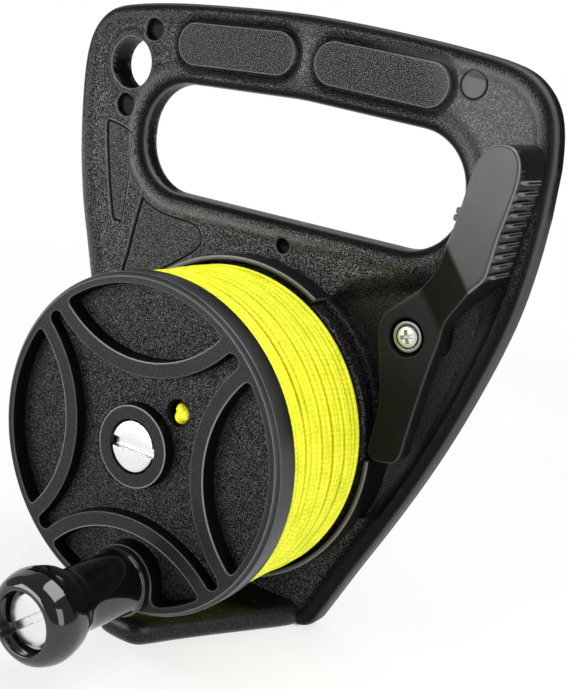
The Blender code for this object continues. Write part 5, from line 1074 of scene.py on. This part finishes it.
def build_grip_ribs(first, pitch, count, side, stand, half=0.56):
    """Grip ribs: half round bars along the depth whose height falls to nothing in a round front end. They
    start at the first height and go down by the pitch."""
    heights = first - pitch * np.arange(count)
    across = np.radians([0, 4, 16, 36, 60, 90, 120, 144, 164, 176, 180])
    share = np.linspace(0, 1, 9)
    swell = np.sqrt(np.clip(1 - (1 - share / 0.16) ** 2, 0, 1)) * (share < 0.16) + (share >= 0.16)
    swell[-1] = 0.6
    front, back = PAD_FRONT + 1.3, ARM_BACK - 3.2
    depth = front + share * (back - front)
    blunt = np.sign(np.cos(across)) * np.sqrt(np.abs(np.cos(across)))
    for number, (x, z) in enumerate(zip(side_wall(LEVER, heights, side), heights)):
        bulge = x + side * (stand * swell[:, None] * np.sqrt(np.sin(across))[None] - 0.35)
        height = z + half * np.maximum(swell, 0.15)[:, None] * blunt[None]
        rows = world(bulge, depth[:, None], height)
        # Pale line along the upper side of each rib, and a paler front end: painted highlight.
        lit = np.tile(0.6 * line_at(across, 0.5, 0.28), (len(rows), 1))
        lit[:2] = 0.25
        name = "lever_rib_%s_%d" % ("right" if side > 0 else "left", number)
        piece(name, rows, capped_faces(rows), RIB_PLASTIC, "lever", layers={"wear_and_highlight": lit})


def build_lever_hub():
    """Hub round the pivot: a turned boss with a rounded crown and the sleeve's recess."""
    profile = [(3.8, 55.2), (8.8, 55.2), (8.8, 44.6), (5.3, 44.6), (5.3, 47.1), (3.8, 47.1)]
    return turned_ring("lever_hub", profile, 96, PIVOT, LEVER_PLASTIC, "lever", soften=0.4, sharp_degrees=50)


def build_sleeve():
    """Grey sleeve: a turned tube with a flange, on which the lever turns."""
    profile = [(1.95, 46.1), (3.35, 46.1), (3.35, 44.4), (4.35, 44.4), (4.35, 46.8), (3.5, 46.8), (3.5, 55.7),
               (1.95, 55.7)]
    return turned_ring("lever_sleeve_turned", profile, 72, PIVOT, GREY_STEEL, "frame", ["lever_sleeve"],
                       soften=0.22, sharp_degrees=50)


def screw_head(name, centre, radius, front, back, crown, cuts, deepest, shank, end, material, body, cad_node):
    """Screw: head face as a depth over radius and angle, sunk where a slot or cross is, then side and shank.
    The sunken share is a steep step of the distance inside the union of straight slots, the cuts, each
    given as (degrees, half width, half length). Front and back are the head's depths, end the shank's."""
    columns = 180
    reach = np.concatenate([[0.0], np.linspace(0.06, radius, 46)])
    angle = np.linspace(0, 2 * np.pi, columns, endpoint=False)

    def inside(points):
        """Distance inside the nearest slot."""
        found = []
        for degrees, half, length in cuts:
            along, side = (np.abs(points @ heading(np.radians(turn))) for turn in (degrees, degrees + 90.0))
            found.append(np.minimum(half - side, length - along))
        return np.max(found, axis=0)

    flat = reach[:, None, None] * heading(angle)
    flat[1:-1] = drawn_to_edges(flat[1:-1].reshape(-1, 2), inside, 0.75, 0.45).reshape(-1, columns, 2)
    sunk = deepest * rise(inside(flat.reshape(-1, 2)), -0.07, 0.16).reshape(len(reach), columns)
    share = np.hypot(flat[..., 0], flat[..., 1]) / radius
    dome = crown * (1 - np.sqrt(np.clip(1 - (share * 0.97) ** 4, 0, 1)))
    depth = np.minimum(front + dome + sunk, back - 0.2)
    face = world(centre[0] + flat[..., 0], depth, centre[1] + flat[..., 1])
    side = [(radius, back - 0.12), (radius - 0.12, back), (shank, back), (shank, end), (0.0, end)]
    rows = np.concatenate([face, turned(side, columns, centre)])
    return piece(name, rows, grid_faces(len(rows), columns), material, body, [cad_node], sharp_degrees=40)


def build_knob():
    """Knob: one turned form from its foot over the bulb into the screw's recess."""
    shares = np.array([(0.000, 1.02), (0.020, 1.08), (0.045, 1.09), (0.085, 1.02), (0.300, 0.99),
                       (0.480, 0.98), (0.560, 1.03), (0.620, 1.15), (0.680, 1.29), (0.750, 1.38),
                       (0.820, 1.4286), (0.880, 1.40), (0.940, 1.31), (0.975, 1.19), (0.995, 1.06)])
    neck, foot, length = 9.1, -1.5, 38.5
    curve = np.stack([neck * shares[:, 1], foot - length * shares[:, 0]], axis=-1)
    curve = through(np.vstack([curve[:1] + (0.4, 0.2), curve, curve[-1:] - (1.2, 0.1)]), 6)
    crown = [(neck, -39.98), (8.75, -39.95), (8.45, -39.75), (8.35, -39.4)]
    inner = [(8.35, -35.5), (8.1, -35.2), (2.8, -35.2), (2.8, foot)]
    return turned_ring("knob_turned", np.vstack([curve, crown, inner]), 128, KNOB_PLACE, KNOB_PLASTIC, "knob",
                       ["crank_knob"], sharp_degrees=60)


build_lever()
build_lever_hub()
build_sleeve()
build_knob()
build_grip_ribs(86.9, 2.72, 10, 1, 1.6)
build_grip_ribs(77.0, 1.9, 2, -1, 2.4, 0.95)
screw_head("axle_bolt_turned", (0.0, 0.0), 7.0, -1.2, 2.2, 0.5, ((0.0, 1.4, 9.0),), 1.6, 4.0, 59.7,
           BRIGHT_STEEL, "frame", "axle_bolt")
screw_head("knob_screw_turned", KNOB_PLACE, 6.85, -37.1, -34.6, 0.6, ((38.0, 1.1, 9.0),), 1.2, 2.5, 6.7,
           BRIGHT_STEEL, "spool", "knob_screw")
screw_head("lever_screw_turned", PIVOT, 3.0, 43.9, 45.8, 0.7, ((20.0, 0.48, 1.9), (110.0, 0.48, 1.9)), 1.3,
           1.65, 59.8, DULL_STEEL, "frame", "lever_screw")

# Studio

def stage_material(name, glow, shade, reach=None):
    """White stage: the camera, gloss and glass see nearly plain white on which shadows stay faint. Between
    the two distances of a reach the glow grows to full white."""
    material = bpy.data.materials.new(name)
    material.use_nodes = True
    tree = material.node_tree
    tree.nodes.clear()
    rays = node(tree, "LightPath").outputs
    seen = worked_out(tree, "MAXIMUM", rays["Is Camera Ray"], rays["Is Glossy Ray"])
    seen = worked_out(tree, "MAXIMUM", seen, rays["Is Transmission Ray"])
    if reach:
        places = node(tree, "TexCoord").outputs["Object"]
        away = node(tree, "VectorMath", {0: places}, operation="LENGTH").outputs["Value"]
        limits = {"Value": away, "From Min": reach[0], "From Max": reach[1], "To Min": glow, "To Max": 1.0}
        glow = node(tree, "MapRange", limits).outputs["Result"]
    share = worked_out(tree, "MULTIPLY", seen, glow)
    matt = node(tree, "BsdfDiffuse", {"Color": (*grey(shade), 1.0)}).outputs[0]
    light = node(tree, "Emission", {"Color": (*WHITE, 1.0), "Strength": 1.0}).outputs[0]
    mix = node(tree, "MixShader", {"Fac": share, 1: matt, 2: light}).outputs[0]
    node(tree, "OutputMaterial", {"Surface": mix})
    return material


def sheet(name, corners, material):
    """Flat stage piece from its four corners."""
    mesh = bpy.data.meshes.new(name)
    mesh.from_pydata(corners, [], [(0, 1, 2, 3)])
    mesh.materials.append(material)
    item = bpy.data.objects.new(name, mesh)
    bpy.context.scene.collection.objects.link(item)
    return item


sheet("floor", [(-20, -20, 0), (20, -20, 0), (20, 20, 0), (-20, 20, 0)],
      stage_material("floor_white", 0.78, 0.92, (0.14, 0.60)))
sheet("backdrop", [(-27, 4, -1), (3, 22, -1), (3, 22, 20), (-27, 4, 20)],
      stage_material("backdrop_white", 1.0, 0.90))

# Black cards behind the reel, which darken its gloss from behind. The camera doesn't see them.
CARD_BLACK = shader("card_black", grey(0.01), 0.5, specular=0.0)[0]
for title, left, right, depth, low, high in (("card_behind_right", 0.04, 0.55, 0.30, 0.100, 0.60),
                                             ("card_behind_top", -1.0, 0.30, 0.50, 0.28, 1.0)):
    corners = [(left, depth, low), (right, depth, low), (right, depth, high), (left, depth, high)]
    sheet(title, corners, CARD_BLACK).visible_camera = False

studio = bpy.data.worlds.new("studio")
bpy.context.scene.world = studio
studio.use_nodes = True
soft = studio.node_tree.nodes["Background"]
soft.inputs["Color"].default_value = (*WHITE, 1.0)
soft.inputs["Strength"].default_value = 0.25


def softbox(name, location, target, width, height, radiance):
    """Rectangular lamp whose face shows the given radiance, turned towards a point."""
    lamp = bpy.data.lights.new(name, "AREA")
    lamp.shape = "RECTANGLE"
    lamp.size = width
    lamp.size_y = height
    lamp.energy = radiance * np.pi * width * height
    item = bpy.data.objects.new(name, lamp)
    item.location = location
    item.rotation_euler = (Vector(target) - Vector(location)).to_track_quat("-Z", "Y").to_euler()
    bpy.context.scene.collection.objects.link(item)


softbox("key_front_left", (-0.33, -0.64, 0.20), (0.0, 0.0, 0.14), 0.60, 0.36, 6.0)
softbox("fill_right", (0.75, -0.25, 0.28), (0.0, 0.0, 0.10), 0.40, 0.50, 3.2)
softbox("overhead", (0.28, 0.05, 1.05), (0.0, 0.0, 0.08), 0.9, 0.8, 5.2)

# Camera
camera_data = bpy.data.cameras.new("camera")
camera_data.lens = 63.84
camera_data.sensor_width = 36.0
camera_data.clip_start = 0.01
camera = bpy.data.objects.new("camera", camera_data)
bpy.context.scene.collection.objects.link(camera)
right = Vector((0.825, 0.544, 0.149)).normalized()
up = Vector((-0.256, 0.127, 0.958))
back = right.cross(up).normalized()
up = back.cross(right).normalized()
camera.matrix_world = Matrix((
    (right.x, up.x, back.x, 0.1931), (right.y, up.y, back.y, -0.2791), (right.z, up.z, back.z, 0.1734),
    (0, 0, 0, 1)))
bpy.context.scene.camera = camera
bpy.context.scene.view_settings.view_transform = "Standard"
